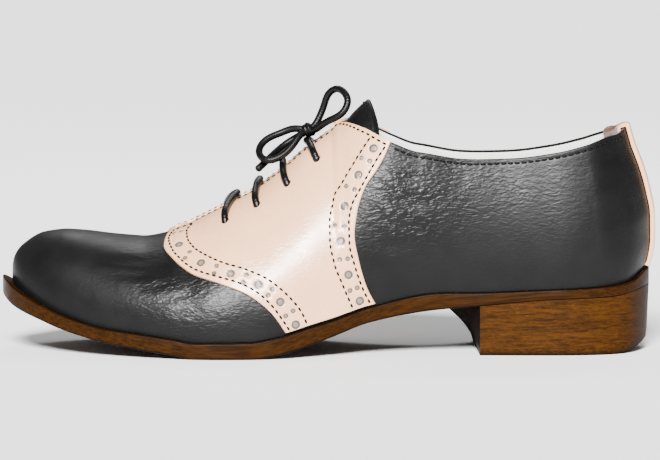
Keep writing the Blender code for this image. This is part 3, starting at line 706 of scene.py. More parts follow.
def lift_rubber(colours):
    """The walked-on lift: dark, level flecks and a dull rubbed face, with painted shade darkening
    its bottom, its back and its breast.
    """
    base = tuple(colours.heel)

    def colour(root):
        fibre = root.place().stretch((0.2, 0.2, 1.0)).noise(0.4, 4.0, 0.65)
        tone = fibre.ramp(0.36, 0.64).blend(rgb(base, 0.45), rgb(base, 1.5))
        # Painted shade: darker towards the bottom and the back, and near black on the breast.
        dark = (1
                - root.mark("level").ramp(0.0, 0.8)).at_least(root.mark("back").ramp(0.0, 1.0)
                                                              * 0.8)
        return root.mark("breast").ramp(0.3, 0.9).blend(dark.blend(tone, rgb(base, 0.2)),
                                                        rgb(base, 0.12))

    return finish("heel_lift_rubber", colour, 0.55,
                  lambda root: root.place().noise(0.7, 4.0).bump(0.06), view_colour=base,
                  Specular_IOR_Level=0.05)


def lining_leather(colours):
    """Pale lining: soft, even, with a faint nap and pores."""
    base = tuple(colours.lining)

    def colour(root):
        return root.place().noise(8.0, 3.0).ramp(0.3, 0.7).blend(rgb(base, 0.95), rgb(base, 1.03))

    return finish("lining_leather_pale", colour, 0.62,
                  lambda root: (root.place().cells(0.7) + root.place().noise(0.4)).bump(0.05),
                  view_colour=base)


def lace_cord(colours):
    """Round waxed lace: a fine braid that turns round it, black and glossy."""
    base = tuple(colours.lace)

    def braid(root):
        lie = root.mark("lie", 1)
        run, angle = (root.add("ShaderNodeSeparateXYZ", {}, {0: lie}, axis) for axis in (0, 1))
        run, angle = run * 5.2, angle * 6.0
        return (run + angle).wave().at_least((run - angle).wave())

    # Painted shade: the lace's colour darkens in the braid's grooves, where its relief is low.
    return finish("black_cord_waxed",
                  lambda root: braid(root).ramp(-0.6, 1.0).blend(rgb(base, 0.5), rgb(base, 1.3)),
                  0.34, lambda root: braid(root).bump(0.03), view_colour=base,
                  Specular_IOR_Level=0.2)


def thread(name, colour, roughness=0.5):
    """Waxed sewing thread with the twist of its strands."""
    return finish(name,
                  lambda root: root.place().noise(0.3).ramp(0.3, 0.7).blend(rgb(colour, 0.7),
                                                                            rgb(colour, 1.3)),
                  roughness, lambda root: root.place().noise(0.18).bump(0.03), view_colour=colour,
                  Specular_IOR_Level=0.1)


def crease_relief(side, turn, rise):
    """Soft troughs with a low ridge on each side, in metres: along each crease's line the depth is
    -d exp(-(q/w)2) + 0.45 d exp(-((q - 1.7 w)/w)2), where q is the distance from the line."""
    point = upper_point(side, turn, rise)
    relief = np.zeros(point.shape[:-1])
    for crease_side, depth, width, line in CREASES:
        if crease_side != side:
            continue
        along, up = np.array(line).T
        share = np.linspace(0, 1, 40)
        keys = np.linspace(0, 1, len(along))
        spine = upper_point(side, turn_of(flow(keys, along, share)), flow(keys, up, share))
        gaps = np.linalg.norm(point[..., None, :] - spine, axis=-1)
        nearest = gaps.argmin(-1)
        q = gaps.min(-1) / (width * MM)
        fade = np.sin(math.pi * share[nearest]) ** 1.6
        relief += depth * MM * fade * (0.45 * np.exp(-(q - 1.7) ** 2) - np.exp(-q ** 2))
    return relief


# Worked leather: each hill's place along, its rise, its reach along and up, and its strength
WORKED = (
    (0.40, 0.62, 0.085, 0.30, 1.0), (0.27, 0.85, 0.12, 0.22, 0.45), (0.73, 0.26, 0.070, 0.16, 0.85),
    (0.60, 0.34, 0.10, 0.20, 0.7), (0.78, 0.55, 0.05, 0.2, 0.25), (0.13, 0.6, 0.12, 0.3, 0.15))


def worked_mark(side, turn, rise):
    """Where the leather is worked: hills of 0 to 1 at the vamp's flex and beside the saddle."""
    along = along_of(turn)
    total = 0.0
    for middle, up, reach, spread, strength in WORKED:
        total = total + strength * np.exp(-((along - middle) / reach) ** 2
                                          - ((rise - up) / spread) ** 2)
    return np.clip(total, 0.0, 1.0)


def upper_panel(name, turns, rises, face_off, back_off, material, slot, throat=THROAT_FRONT):
    """A panel of the upper on both sides of the foot, as one hollow wall between two offsets of
    the upper's face. The sides share their points at the back seam, the toe and the vamp's
    ridge."""
    shut = int(np.searchsorted(along_of(turns), throat - 1e-9))
    grid = np.broadcast_arrays(turns[:, None], rises)
    points, ids, worked, count = [], {}, [], 0
    for side in (OUTER, INNER):
        for layer, off in enumerate((face_off, back_off)):
            sheet = off_upper(side, *grid, off(side, *grid))
            floor = sole_top(SHOE_LENGTH / 2 - sheet[..., 0]) + GAP
            sheet[..., 2] = np.maximum(sheet[..., 2], floor)
            number = np.arange(count, count + sheet[..., 0].size).reshape(sheet.shape[:2])
            count += number.size
            if side == INNER:
                other = ids[OUTER, layer]
                if turns[0] == 0:
                    number[0] = other[0]
                if turns[-1] == math.pi:
                    number[-1] = other[-1]
                number[shut:, -1] = other[shut:, -1]
            ids[side, layer] = number
            points.append(sheet.reshape(-1, 3))
            worked.append(worked_mark(side, *grid).ravel())
    quads = []
    for side in (OUTER, INNER):
        face, back = ids[side, 0], ids[side, 1]
        quads += [grid_quads(face)[:, ::-1] if side == OUTER else grid_quads(face),
                  grid_quads(back) if side == OUTER else grid_quads(back)[:, ::-1]]
        rims = [(face[:, 0], back[:, 0])]
        if shut > 0:
            rims.append((face[:shut + 1, -1], back[:shut + 1, -1]))
        if turns[0] > 0:
            rims.append((face[0], back[0]))
        if turns[-1] < math.pi:
            rims.append((face[-1], back[-1]))
        quads += [np.stack([a[:-1], a[1:], b[1:], b[:-1]], -1) for a, b in rims]
    triangles = split(np.concatenate(quads))
    whole = ((triangles[:, 0] != triangles[:, 1]) & (triangles[:, 1] != triangles[:, 2])
             & (triangles[:, 0] != triangles[:, 2]))
    used, index = np.unique(triangles[whole], return_inverse=True)
    return piece_from(name, np.concatenate(points)[used], index.reshape(-1, 3), material, slot,
                      {"worked": np.concatenate(worked)[used]})


def row_below_edge(side, turn, depth):
    """The rise that lies a depth below the top edge: 1 less the depth over the section's speed."""
    small = 1e-3
    rise = np.ones_like(turn)
    for _ in range(3):
        middle = (1 + rise) / 2
        speed = np.linalg.norm(upper_point(side, turn, np.minimum(middle + small, 1))
                               - upper_point(side, turn, middle - small), axis=-1) / (
                                   np.minimum(middle + small, 1) - middle + small)
        rise = 1 - depth / speed
    return rise


def stitch_points(path, normals, pitch, length, width, proud):
    """Points and triangles of a row of stitches on a path: each is a tube of five rings of six
    points whose radius and height follow a half sine, so that its ends dive into the leather."""
    run = np.concatenate([[0], np.cumsum(np.linalg.norm(np.diff(path, axis=0), axis=1))])
    count = max(1, int(run[-1] / pitch))
    centres = (np.arange(count) + 0.5) * run[-1] / count
    share = np.linspace(-1, 1, 5)
    at = (centres[:, None] + share * length / 2).clip(0, run[-1])

    def read(values, where):
        return np.stack([np.interp(where, run, values[:, k]) for k in range(3)], -1)

    middle, normal = read(path, at), read(normals, at)
    ahead = read(path, (at + 1e-4).clip(0, run[-1])) - read(path, (at - 1e-4).clip(0, run[-1]))
    across = np.cross(ahead, normal)
    across /= np.linalg.norm(across, axis=-1, keepdims=True)
    swell = np.sqrt(np.clip(1 - 0.80 * share ** 2, 0, 1))[None, :, None]
    angle = np.arange(6) * math.pi / 3
    rise = (np.cos(math.pi / 2 * share) * proud - 0.25 * proud)[None, :, None]
    centre = middle + normal * rise
    ring = (centre[:, :, None] + (across * swell * width / 2)[:, :, None] * np.cos(angle)[:, None]
            + (normal * swell * width * 0.36)[:, :, None] * np.sin(angle)[:, None])
    number = np.arange(count * 30).reshape(count, 5, 6)
    ahead_ring = np.roll(number, -1, axis=2)
    quads = np.stack([number[:, :-1], number[:, 1:], ahead_ring[:, 1:], ahead_ring[:, :-1]],
                     -1).reshape(-1, 4)
    caps = np.concatenate([np.stack([number[:, end, 0], number[:, end, k],
                                     number[:, end, k + 1]][::way], -1)
                           for end, way in ((0, 1), (4, -1)) for k in range(1, 5)])
    return ring.reshape(-1, 3), np.concatenate([split(quads), caps])


def stitched(name, rows, material, slot, sizes, length, width, proud, shift=0.0):
    """One piece from several rows of stitches, each a path with its normals."""
    points, triangles, start = [], [], 0
    for path, normals in rows:
        if shift:
            run = np.concatenate([[0], np.cumsum(np.linalg.norm(np.diff(path, axis=0), axis=1))])
            moved = run + sizes.stitch_pitch * shift
            path = np.stack([np.interp(moved, run, path[:, k]) for k in range(3)],
                            -1)[moved < run[-1]]
            normals = normals[: len(path)]
        vertices, faces = stitch_points(path, normals, sizes.stitch_pitch, length, width, proud)
        points.append(vertices)
        triangles.append(faces + start)
        start += len(vertices)
    return piece_from(name, np.concatenate(points), np.concatenate(triangles), material, slot,
                      sharp=80)


def upper_row(side, line, off, count=400):
    """A path on the upper through (along, rise) pairs at an offset, and its normals."""
    along, rise = np.array(line).T
    keys = np.concatenate([[0], np.cumsum(np.hypot(np.diff(along) * 4, np.diff(rise)))])
    at = np.linspace(0, keys[-1], count)
    turn, up = turn_of(flow(keys, along, at)), flow(keys, rise, at)
    return off_upper(side, turn, up, off), upper_normal(side, turn, up)


def facing_row(side, depth, off):
    """The stitch row below the saddle's top edge, from the throat's front to the collar."""
    along = np.concatenate([np.linspace(0.714, 0.505, 240), np.linspace(0.503, 0.417, 120)])
    turn = turn_of(along)
    rise = row_below_edge(side, turn, depth * np.ones_like(turn))
    return off_upper(side, turn, rise, off), upper_normal(side, turn, rise)


def tube(name, path, diameter, material, slot, sides=18, across=(0, 1, 0), blunt=0.35):
    """A round lace: rings square to the path, shrinking over a rounded end, with its run in
    millimetres and its angle marked for the braid."""
    path = np.asarray(path, float)
    run = np.concatenate([[0], np.cumsum(np.linalg.norm(np.diff(path, axis=0), axis=1))])
    ahead = np.gradient(path, run, axis=0)
    ahead /= np.linalg.norm(ahead, axis=1, keepdims=True)
    first = np.cross(ahead, across)
    first /= np.linalg.norm(first, axis=1, keepdims=True)
    second = np.cross(ahead, first)
    radius = diameter / 2
    end = np.minimum(run, run[-1] - run)
    swell = 1 - edge_fall(end, blunt * diameter) / radius * 0.9
    angle = np.linspace(0, 2 * math.pi, sides, endpoint=False)
    rings = path[:, None] + radius * swell[:, None, None] * (
        np.cos(angle)[:, None] * first[:, None] + np.sin(angle)[:, None] * second[:, None])
    number = np.arange(len(path) * sides).reshape(len(path), sides)
    ahead_ring = np.roll(number, -1, axis=1)
    quads = np.stack([number[:-1], number[1:], ahead_ring[1:], ahead_ring[:-1]], -1).reshape(-1, 4)
    centres = len(path) * sides + np.arange(2)
    caps = [np.stack([np.full(sides, centres[k]), number[row], ahead_ring[row]][::way], -1)
            for k, row, way in ((0, 0, 1), (1, -1, -1))]
    lie = np.stack([np.repeat(run / MM, sides), np.tile(angle, len(path)),
                    np.zeros(len(path) * sides)], -1)
    lie = np.concatenate([lie, [[0, 0, 0], [run[-1] / MM, 0, 0]]])
    vertices = np.concatenate([rings.reshape(-1, 3), path[[0, -1]]])
    return piece_from(name, vertices, np.concatenate([split(quads), *caps]), material, slot,
                      {"lie": lie}, 60)


def path_length(path):
    """Length of a path of points."""
    return float(np.linalg.norm(np.diff(path, axis=0), axis=1).sum())


def flat_sheet(outer, inner, height, across):
    """A sheet spanned straight from the outer to the inner edge in plan, at a height that follows
    the length."""
    share = np.linspace(0, 1, across)
    distance = outer[0][:, None] * (1 - share) + inner[0][:, None] * share
    y = outer[1][:, None] * (1 - share) + inner[1][:, None] * share
    return np.stack([SHOE_LENGTH / 2 - distance, y, height(distance)], axis=-1)


def top_piece_base(distance):
    """The heel's bottom: flat, then rising behind with the power 2.4 of the distance past it."""
    reach = 3 * TOP_PIECE_ROLL
    rear = feather(OUTER, np.float64(0.0))[0]
    return TOP_PIECE_ROLL * np.clip(1 - (distance - rear) / reach, 0, 1.2) ** 2.4


def breast_distance(side, level):
    """Where the heel ends in front; the inner side sweeps forward as it rises."""
    start = BREAST * SHOE_LENGTH
    return start if side == OUTER else start + BREAST_SWEEP * (0.08 + 0.92 * level ** 1.5)


def heel_sheet(level, inset, height, across=16, count=90):
    """One level of the heel, from the back to the breast, closer rows beside the breast."""
    share = np.concatenate([np.linspace(0, 1, count)[:-1], [0.9993, 1.0]])
    edges = []
    for side in (OUTER, INNER):
        end = turn_of(breast_distance(side, level) / UPPER_LENGTH)
        edges.append(sole_edge(side, share * end, inset))
    return flat_sheet(edges[0], edges[1], height, across)


def aim(thing, place, target):
    """Places a lamp or camera and turns it to face a point."""
    thing.location = place
    thing.rotation_euler = (Vector(target) - Vector(place)).to_track_quat("-Z", "Y").to_euler()


def lamp(name, kind, azimuth, elevation, distance, power):
    """A lamp that faces the shoe. Azimuth 0 is the camera's side and 90 the heel's."""
    light = bpy.data.lights.new(name, kind)
    light.energy = power
    holder = bpy.data.objects.new(name, light)
    bpy.context.scene.collection.objects.link(holder)
    a, e = math.radians(azimuth), math.radians(elevation)
    away = np.array([math.sin(a) * math.cos(e), -math.cos(a) * math.cos(e), math.sin(e)])
    aim(holder, tuple(np.array(SHOE_MIDDLE) + distance * away), SHOE_MIDDLE)
    return light


class SHOE_PG_sizes(bpy.types.PropertyGroup):
    """Sizes of the work on the leather, in metres."""

    stitch_pitch: bpy.props.FloatProperty(
        name="Stitch pitch", description="From one stitch to the next",
        default=0.0028, unit="LENGTH")
    stitch_length: bpy.props.FloatProperty(
        name="Stitch length", description="Length of the thread that shows",
        default=0.0019, unit="LENGTH")
    stitch_width: bpy.props.FloatProperty(
        name="Stitch width", description="Thickness of the sewing thread",
        default=0.00092, unit="LENGTH")
    large_hole: bpy.props.FloatProperty(
        name="Large perforation", description="Diameter of the large perforations",
        default=0.0036, unit="LENGTH")
    small_hole: bpy.props.FloatProperty(
        name="Small perforation", description="Diameter of the small perforations",
        default=0.0021, unit="LENGTH")
    dish: bpy.props.FloatProperty(
        name="Perforation depth", description="Depth of a perforation's dish",
        default=0.0004, unit="LENGTH")
    edge: bpy.props.FloatProperty(
        name="Edge rounding", description="Radius of a panel's worked edge",
        default=0.0006, unit="LENGTH")
    leather: bpy.props.FloatProperty(
        name="Leather thickness", description="Thickness of the black leather, outside its lining",
        default=0.0011, unit="LENGTH")
    lace: bpy.props.FloatProperty(
        name="Lace thickness", description="Diameter of the waxed lace",
        default=0.0030, unit="LENGTH")
    collar_row: bpy.props.FloatProperty(
        name="Edge row", description="From a top edge down to its stitch row",
        default=0.0023, unit="LENGTH")


class SHOE_PG_colours(bpy.types.PropertyGroup):
    """Colours of the shoe and the studio."""

    black_leather: bpy.props.FloatVectorProperty(
        name="Black leather", description="Vamp, quarters and tongue",
        subtype="COLOR", size=3, min=0, max=1, default=(0.0030, 0.0030, 0.0031))
    blush_leather: bpy.props.FloatVectorProperty(
        name="Blush leather", description="Saddle and backstay",
        subtype="COLOR", size=3, min=0, max=1, default=(0.82, 0.445, 0.245))
    perforation: bpy.props.FloatVectorProperty(
        name="Perforation", description="Floor of the perforations",
        subtype="COLOR", size=3, min=0, max=1, default=(0.18, 0.145, 0.12))
    sole_edge: bpy.props.FloatVectorProperty(
        name="Sole edge", description="Stained edge of the sole",
        subtype="COLOR", size=3, min=0, max=1, default=(0.0175, 0.0057, 0.0004))
    heel: bpy.props.FloatVectorProperty(
        name="Heel", description="Stacked heel",
        subtype="COLOR", size=3, min=0, max=1, default=(0.0300, 0.0102, 0.0009))
    lining: bpy.props.FloatVectorProperty(
        name="Lining", description="Lining and insole",
        subtype="COLOR", size=3, min=0, max=1, default=(0.86, 0.85, 0.83))
    lace: bpy.props.FloatVectorProperty(
        name="Lace", description="Laces",
        subtype="COLOR", size=3, min=0, max=1, default=(0.0012, 0.0012, 0.0013))
    thread: bpy.props.FloatVectorProperty(
        name="Thread", description="Stitching",
        subtype="COLOR", size=3, min=0, max=1, default=(0.0014, 0.0013, 0.0012))
    floor: bpy.props.FloatVectorProperty(
        name="Floor", description="Studio floor",
        subtype="COLOR", size=3, min=0, max=1, default=(0.96, 0.96, 0.96))


class SHOE_OT_stage(bpy.types.Operator):
    """Camera at the photograph's angle, pale floor and soft studio light"""

    bl_idname = "shoe.stage"
    bl_label = "Studio"

    def execute(self, context):
        colours = context.scene.shoe_colours
        camera = bpy.data.objects.new("camera", bpy.data.cameras.new("camera"))
        context.scene.collection.objects.link(camera)
        lift, distance, seen = math.radians(5.0), 2.4, 0.2747
        target = (0.0005, 0.0, 0.0493)
        camera.data.sensor_width = 36.0
        camera.data.lens = 36.0 * distance / seen
        aim(camera, (target[0], -distance * math.cos(lift), target[2] + distance * math.sin(lift)),
            target)
        context.scene.camera = camera
        material = finish("studio_floor", tuple(colours.floor), 0.85)
        mesh = bpy.data.meshes.new("floor")
        mesh.from_pydata([(-6, -5, 0), (6, -5, 0), (6, 12, 0), (-6, 12, 0)], [], [(0, 1, 2, 3)])
        mesh.materials.append(material)
        floor = bpy.data.objects.new("floor", mesh)
        context.scene.collection.objects.link(floor)
        world = bpy.data.worlds.new("studio")
        context.scene.world = world
        world.use_nodes = True
        world.node_tree.nodes["Background"].inputs["Color"].default_value = (1.0, 1.0, 1.0, 1.0)
        world.node_tree.nodes["Background"].inputs["Strength"].default_value = 0.26
        key = lamp("key_light", "SUN", -5, 33, 1.0, 14)
        key.angle = math.radians(16)
        back = lamp("back_light", "AREA", 172, 44, 1.2, 5.5)
        back.shape = "RECTANGLE"
        back.size, back.size_y = 0.8, 0.30
        return {"FINISHED"}


class SHOE_OT_bow(bpy.types.Operator):
    """The bow: a knot, two loops and the end that shows, each a length of free lace"""

    bl_idname = "shoe.bow"
    bl_label = "Bow"

    def execute(self, context):
        material = lace_cord(context.scene.shoe_colours)
        thick = context.scene.shoe_sizes.lace
        wrap = np.linspace(0, 3.3 * math.pi, 70)
        forward = np.array([0.93, 0.0, 0.37])
        upward = np.array([-0.37, 0.0, 0.93])
        reach = 0.36 * KNOT_DIAMETER
        coil = (np.array(KNOT) + forward * (wrap[:, None] / wrap[-1] - 0.5) * 0.0024
                + reach * (np.cos(wrap)[:, None] * upward
                           + np.sin(wrap)[:, None] * np.array([0.0, -1.0, 0.0])))
        knot = tube("bow_knot", coil, thick, material, "black_cord", across=tuple(forward))
        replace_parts(knot, "lace_knot")
        for name, node, line, far_end, count in (
                ("bow_loop_front", "lace_loop_front", LOOP_FRONT, "knot", 90),
                ("bow_loop_rear", "lace_loop_rear", LOOP_REAR, "knot", 90),
                ("bow_end_front", "lace_end_front", END_FRONT, "bare", 60)):
            path = smooth_path(line, count)
            piece = tube(name, path, thick, material, "black_cord")
            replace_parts(piece, node)
            tuple(path[0])
            path_length(path)
        return {"FINISHED"}


class SHOE_OT_lace_bars(bpy.types.Operator):
    """The lace's four crossings, out through one eyelet and in through the other"""

    bl_idname = "shoe.lace_bars"
    bl_label = "Lace bars"

    def execute(self, context):
        material = bpy.data.materials["black_cord_waxed"]
        thick = context.scene.shoe_sizes.lace
        stand_off = GAP + SADDLE_THICKNESS + 0.0002 + thick / 2
        for number, (along, rise, crossing) in enumerate(EYELETS, 1):
            share = np.array([-0.26, -0.16, -0.05, 0.10, 0.28, 0.46, 0.64, 0.82, 1.0])
            lean = 0.009 * (4 - number) / 3
            turn = turn_of(along) * (1 - share) + turn_of(crossing) * share
            turn = turn - (turn_of(crossing) - turn_of(crossing - lean)) * np.clip(share, 0,
                                                                                   1) ** 2.5
            rises = rise * (1 - share) + share
            off = np.array([-0.0042, -0.0014, 0.0012, stand_off - 0.0004] + [stand_off] * 5)
            sides = [off_upper(side, turn, rises, off) for side in (OUTER, INNER)]
            path = smooth_path(np.concatenate([sides[0], sides[1][::-1]]), 90)
            piece = tube(f"lace_crossing_{number}", path, thick, material, "black_cord",
                         across=(1, 0, 0))
            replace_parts(piece, f"lace_bar_{number}")
        return {"FINISHED"}


class SHOE_OT_black_panels(bpy.types.Operator):
    """Vamp and quarters in black leather, creased where they flex, and the pale lining inside"""

    bl_idname = "shoe.black_panels"
    bl_label = "Vamp, quarters and lining"

    def execute(self, context):
        sizes, colours = context.scene.shoe_sizes, context.scene.shoe_colours
        material = black_leather(colours)
        rises = np.concatenate([np.linspace(0, 0.93, 74)[:-1],
                                0.93 + 0.07 * np.sin(np.linspace(0, 1, 10) * math.pi / 2)])

        def face(side, turn, rise):
            sheet = upper_point(side, turn, rise)
            run = run_along(sheet, 1)
            from_top = run[:, -1:] - run
            shut = along_of(turn) > THROAT_FRONT
            fall = np.where(shut, 0.0, edge_fall(from_top, sizes.edge))
            groove = 0.00012 * np.exp(-((from_top - sizes.collar_row) / 0.0005) ** 2) * ~shut
            return crease_relief(side, turn, rise) - fall - groove

        def back(side, turn, rise):
            return np.full(rise.shape, -sizes.leather)

        def lining_face(side, turn, rise):
            return np.full(rise.shape, -sizes.leather - 0.00002)

        def lining_back(side, turn, rise):
            run = run_along(upper_point(side, turn, rise), 1)
            fall = np.where(along_of(turn) > THROAT_FRONT, 0.0,
                            edge_fall(run[:, -1:] - run, 0.0005))
            return -UPPER_WALL + fall

        split_at = turn_of(0.52)
        quarters = upper_panel("quarters", np.linspace(0, split_at, 215), rises, face, back,
                               material, "black_leather")
        vamp_turns = np.concatenate([np.linspace(split_at + 0.001, turn_of(THROAT_FRONT), 100)[:-1],
                                     np.linspace(turn_of(THROAT_FRONT), math.pi, 130)])
        vamp = upper_panel("vamp", vamp_turns, rises, face, back, material, "black_leather")
        lining_turns = np.concatenate([np.linspace(0, turn_of(THROAT_FRONT), 110)[:-1],
                                       np.linspace(turn_of(THROAT_FRONT), math.pi, 50)])
        throat = THROAT_FRONT + 0.014
        short = 1 - 0.02 * ease((throat - along_of(lining_turns[:, None])) / 0.007)
        lining = upper_panel("upper_lining", lining_turns, rises[::2] * short, lining_face,
                             lining_back,
                             lining_leather(colours), "lining_leather", throat=throat)
        for piece in (quarters, vamp, lining):
            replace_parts(piece, "upper")
        return {"FINISHED"}


class SHOE_OT_saddle(bpy.types.Operator):
    """The saddle's two wings, with dished perforations, sunk eyelets and rounded edges"""

    bl_idname = "shoe.saddle"
    bl_label = "Saddle"

    def execute(self, context):
        sizes, colours = context.scene.shoe_sizes, context.scene.shoe_colours
        material = blush_leather(colours)
        keys, front, back = np.array(SADDLE).T
        rise = 0.012 + 0.988 * close_at_ends(142)
        share = close_at_ends(224)[:, None]
        start, end = turn_of(flow(keys, back, rise)), turn_of(flow(keys, front, rise))
        corner, bend = turn_of(FACING_TOP), 0.27
        turn = np.where(share < bend, start + (corner - start) * share / bend,
                        corner + (end - corner) * (share - bend) / (1 - bend))
        rises = np.broadcast_to(rise, turn.shape)
        for side, name in ((OUTER, "saddle_outer"), (INNER, "saddle_inner")):
            plain = off_upper(side, turn, rises, GAP + SADDLE_THICKNESS)
            along_run, up_run = run_along(plain, 0), run_along(plain, 1)
            to_edge = np.minimum(np.minimum(along_run, along_run[-1:] - along_run),
                                 up_run[:, -1:] - up_run)
            punch = self.ratio(side, plain, LARGE_HOLES, sizes.large_hole)
            punch = np.minimum(punch, self.ratio(side, plain, SMALL_HOLES, sizes.small_hole))
            eyelet = self.ratio(side, plain, [row[:2] for row in EYELETS], EYELET_DIAMETER)
            dish = sizes.dish * (0.45 * ease((1.02 - punch) / 0.16)
                                 + 0.55 * np.exp(-((punch - 0.84) / 0.20) ** 2))
            hole = (SADDLE_THICKNESS + GAP / 2) * ease((1.0 - eyelet) / 0.25)
            top = (GAP + SADDLE_THICKNESS - edge_fall(to_edge, sizes.edge) - dish - hole
                   + crease_relief(side, turn, rises) * 0.5)
            sheets = [off_upper(side, turn, rises, top), off_upper(side, turn, rises, GAP)]
            marks = {"punch": np.tile(punch.clip(0, 3).ravel(), 2),
                     "eyelet": np.tile(eyelet.clip(0, 3).ravel(), 2),
                     "worked": np.tile(worked_mark(side, turn, rises).ravel(), 2)}
            piece = laid(f"{name}_wing", sheets, material, "blush_leather", marks)
            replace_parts(piece, name)
        return {"FINISHED"}

    def ratio(self, side, points, holes, diameter):
        """Distance to the nearest hole's middle, over its radius."""
        along, rise = np.array(holes).T
        centres = off_upper(side, turn_of(along), rise, GAP + SADDLE_THICKNESS)
        return np.linalg.norm(points[..., None, :] - centres, axis=-1).min(-1) / (diameter / 2)


class SHOE_OT_stitching(bpy.types.Operator):
    """Black thread along the saddle's borders, its facings and the collar"""

    bl_idname = "shoe.stitching"
    bl_label = "Stitching"

    def execute(self, context):
        sizes, colours = context.scene.shoe_sizes, context.scene.shoe_colours
        black = thread("stitch_thread", tuple(colours.thread))
        # Painted shade: small dark marks sunk between the saddle's stitches, where the thread dives
        # into the leather.
        hole_shade = thread("stitch_hole_shade", (0.22, 0.15, 0.11))
        top = GAP + SADDLE_THICKNESS
        for side, name in ((OUTER, "outer"), (INNER, "inner")):
            rows = [upper_row(side, line, top) for line in STITCH_ROWS]
            rows.append(facing_row(side, sizes.collar_row, top))
            stitched(f"saddle_stitches_{name}", rows, black, "black_cord", sizes,
                     sizes.stitch_length, sizes.stitch_width, 0.00032)
            stitched(f"saddle_stitch_hole_shade_{name}", rows, hole_shade, "lining_leather", sizes,
                     sizes.stitch_length * 0.35, sizes.stitch_width * 0.7, 0.00006, 0.5)
        rows = []
        for side in (OUTER, INNER):
            turn = np.linspace(turn_of(0.012), turn_of(0.408), 400)
            rise = row_below_edge(side, turn, sizes.collar_row * np.ones_like(turn))
            rows.append((off_upper(side, turn, rise, -0.00008), upper_normal(side, turn, rise)))
        stitched("collar_stitches", rows, black, "black_cord", sizes,
                 sizes.stitch_length * 1.2, sizes.stitch_width, 0.00022)
        return {"FINISHED"}


class SHOE_OT_backstay(bpy.types.Operator):
    """The strip up the back seam, folded over the collar"""

    bl_idname = "shoe.backstay"
    bl_label = "Backstay"

    def execute(self, context):
        half_turn = turn_of(0.01) * BACKSTAY_WIDTH / 2 / (SECTIONS[1][1] * BALL_WIDTH)
        place = 2 * close_at_ends(41, 0.6) - 1
        rise, down = np.linspace(0.03, 1.0, 130), np.linspace(1.0, 0.92, 14)
        sheets, shade = [], []
        for out in (GAP + BACKSTAY_THICKNESS, GAP):
            columns, shades = [], []
            for share in place:
                side = OUTER if share < 0 else INNER
                tail = 2.2 * np.clip((rise - 0.80) / 0.20, 0,
                                     1) ** 2 if side == INNER else 0.0 * rise
                turns = abs(share) * half_turn * (1 + tail)
                shades.append(np.repeat([0.0, 1.0 if share > 0.35 else 0.0,
                                         1.0 if side == INNER else 0.0],
                                        [len(rise), len(down), len(down)]))
                turn = turns[-1]
                edge = edge_fall(np.array((1 - abs(share)) * BACKSTAY_WIDTH / 2), 0.0007)
                off = out - (edge if out > GAP else 0.0)
                face = off_upper(side, turns, rise, off)
                rim_out = upper_point(side, turn, 1.0)
                rim_in = off_upper(side, turn, 1.0, -UPPER_WALL)
                angle = np.linspace(0, math.pi, 16)[1:-1, None]
                middle, reach = (rim_out + rim_in) / 2, (rim_out - rim_in) / 2
                grow = 1 + off / np.linalg.norm(reach)
                over = middle + np.cos(angle) * reach * grow + np.sin(angle) * np.array([0.0, 0.0,
                                                                                         off])
                inside = off_upper(side, turn, down, -UPPER_WALL - off)
                columns.append(np.concatenate([face, over, inside]))
            sheets.append(np.stack(columns, axis=1))
            shade.append(np.stack(shades, axis=1).ravel())
        size = sheets[0].shape[0] * sheets[0].shape[1] * 2
        material = bpy.data.materials["blush_leather_glazed"]
        marks = {"punch": np.full(size, 3.0), "eyelet": np.full(size, 3.0),
                 "worked": np.full(size, 0.2),
                 "shade": np.concatenate(shade)}
        piece = laid("backstay_strip", sheets, material, "blush_leather", marks)
        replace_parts(piece, "backstay")
        return {"FINISHED"}


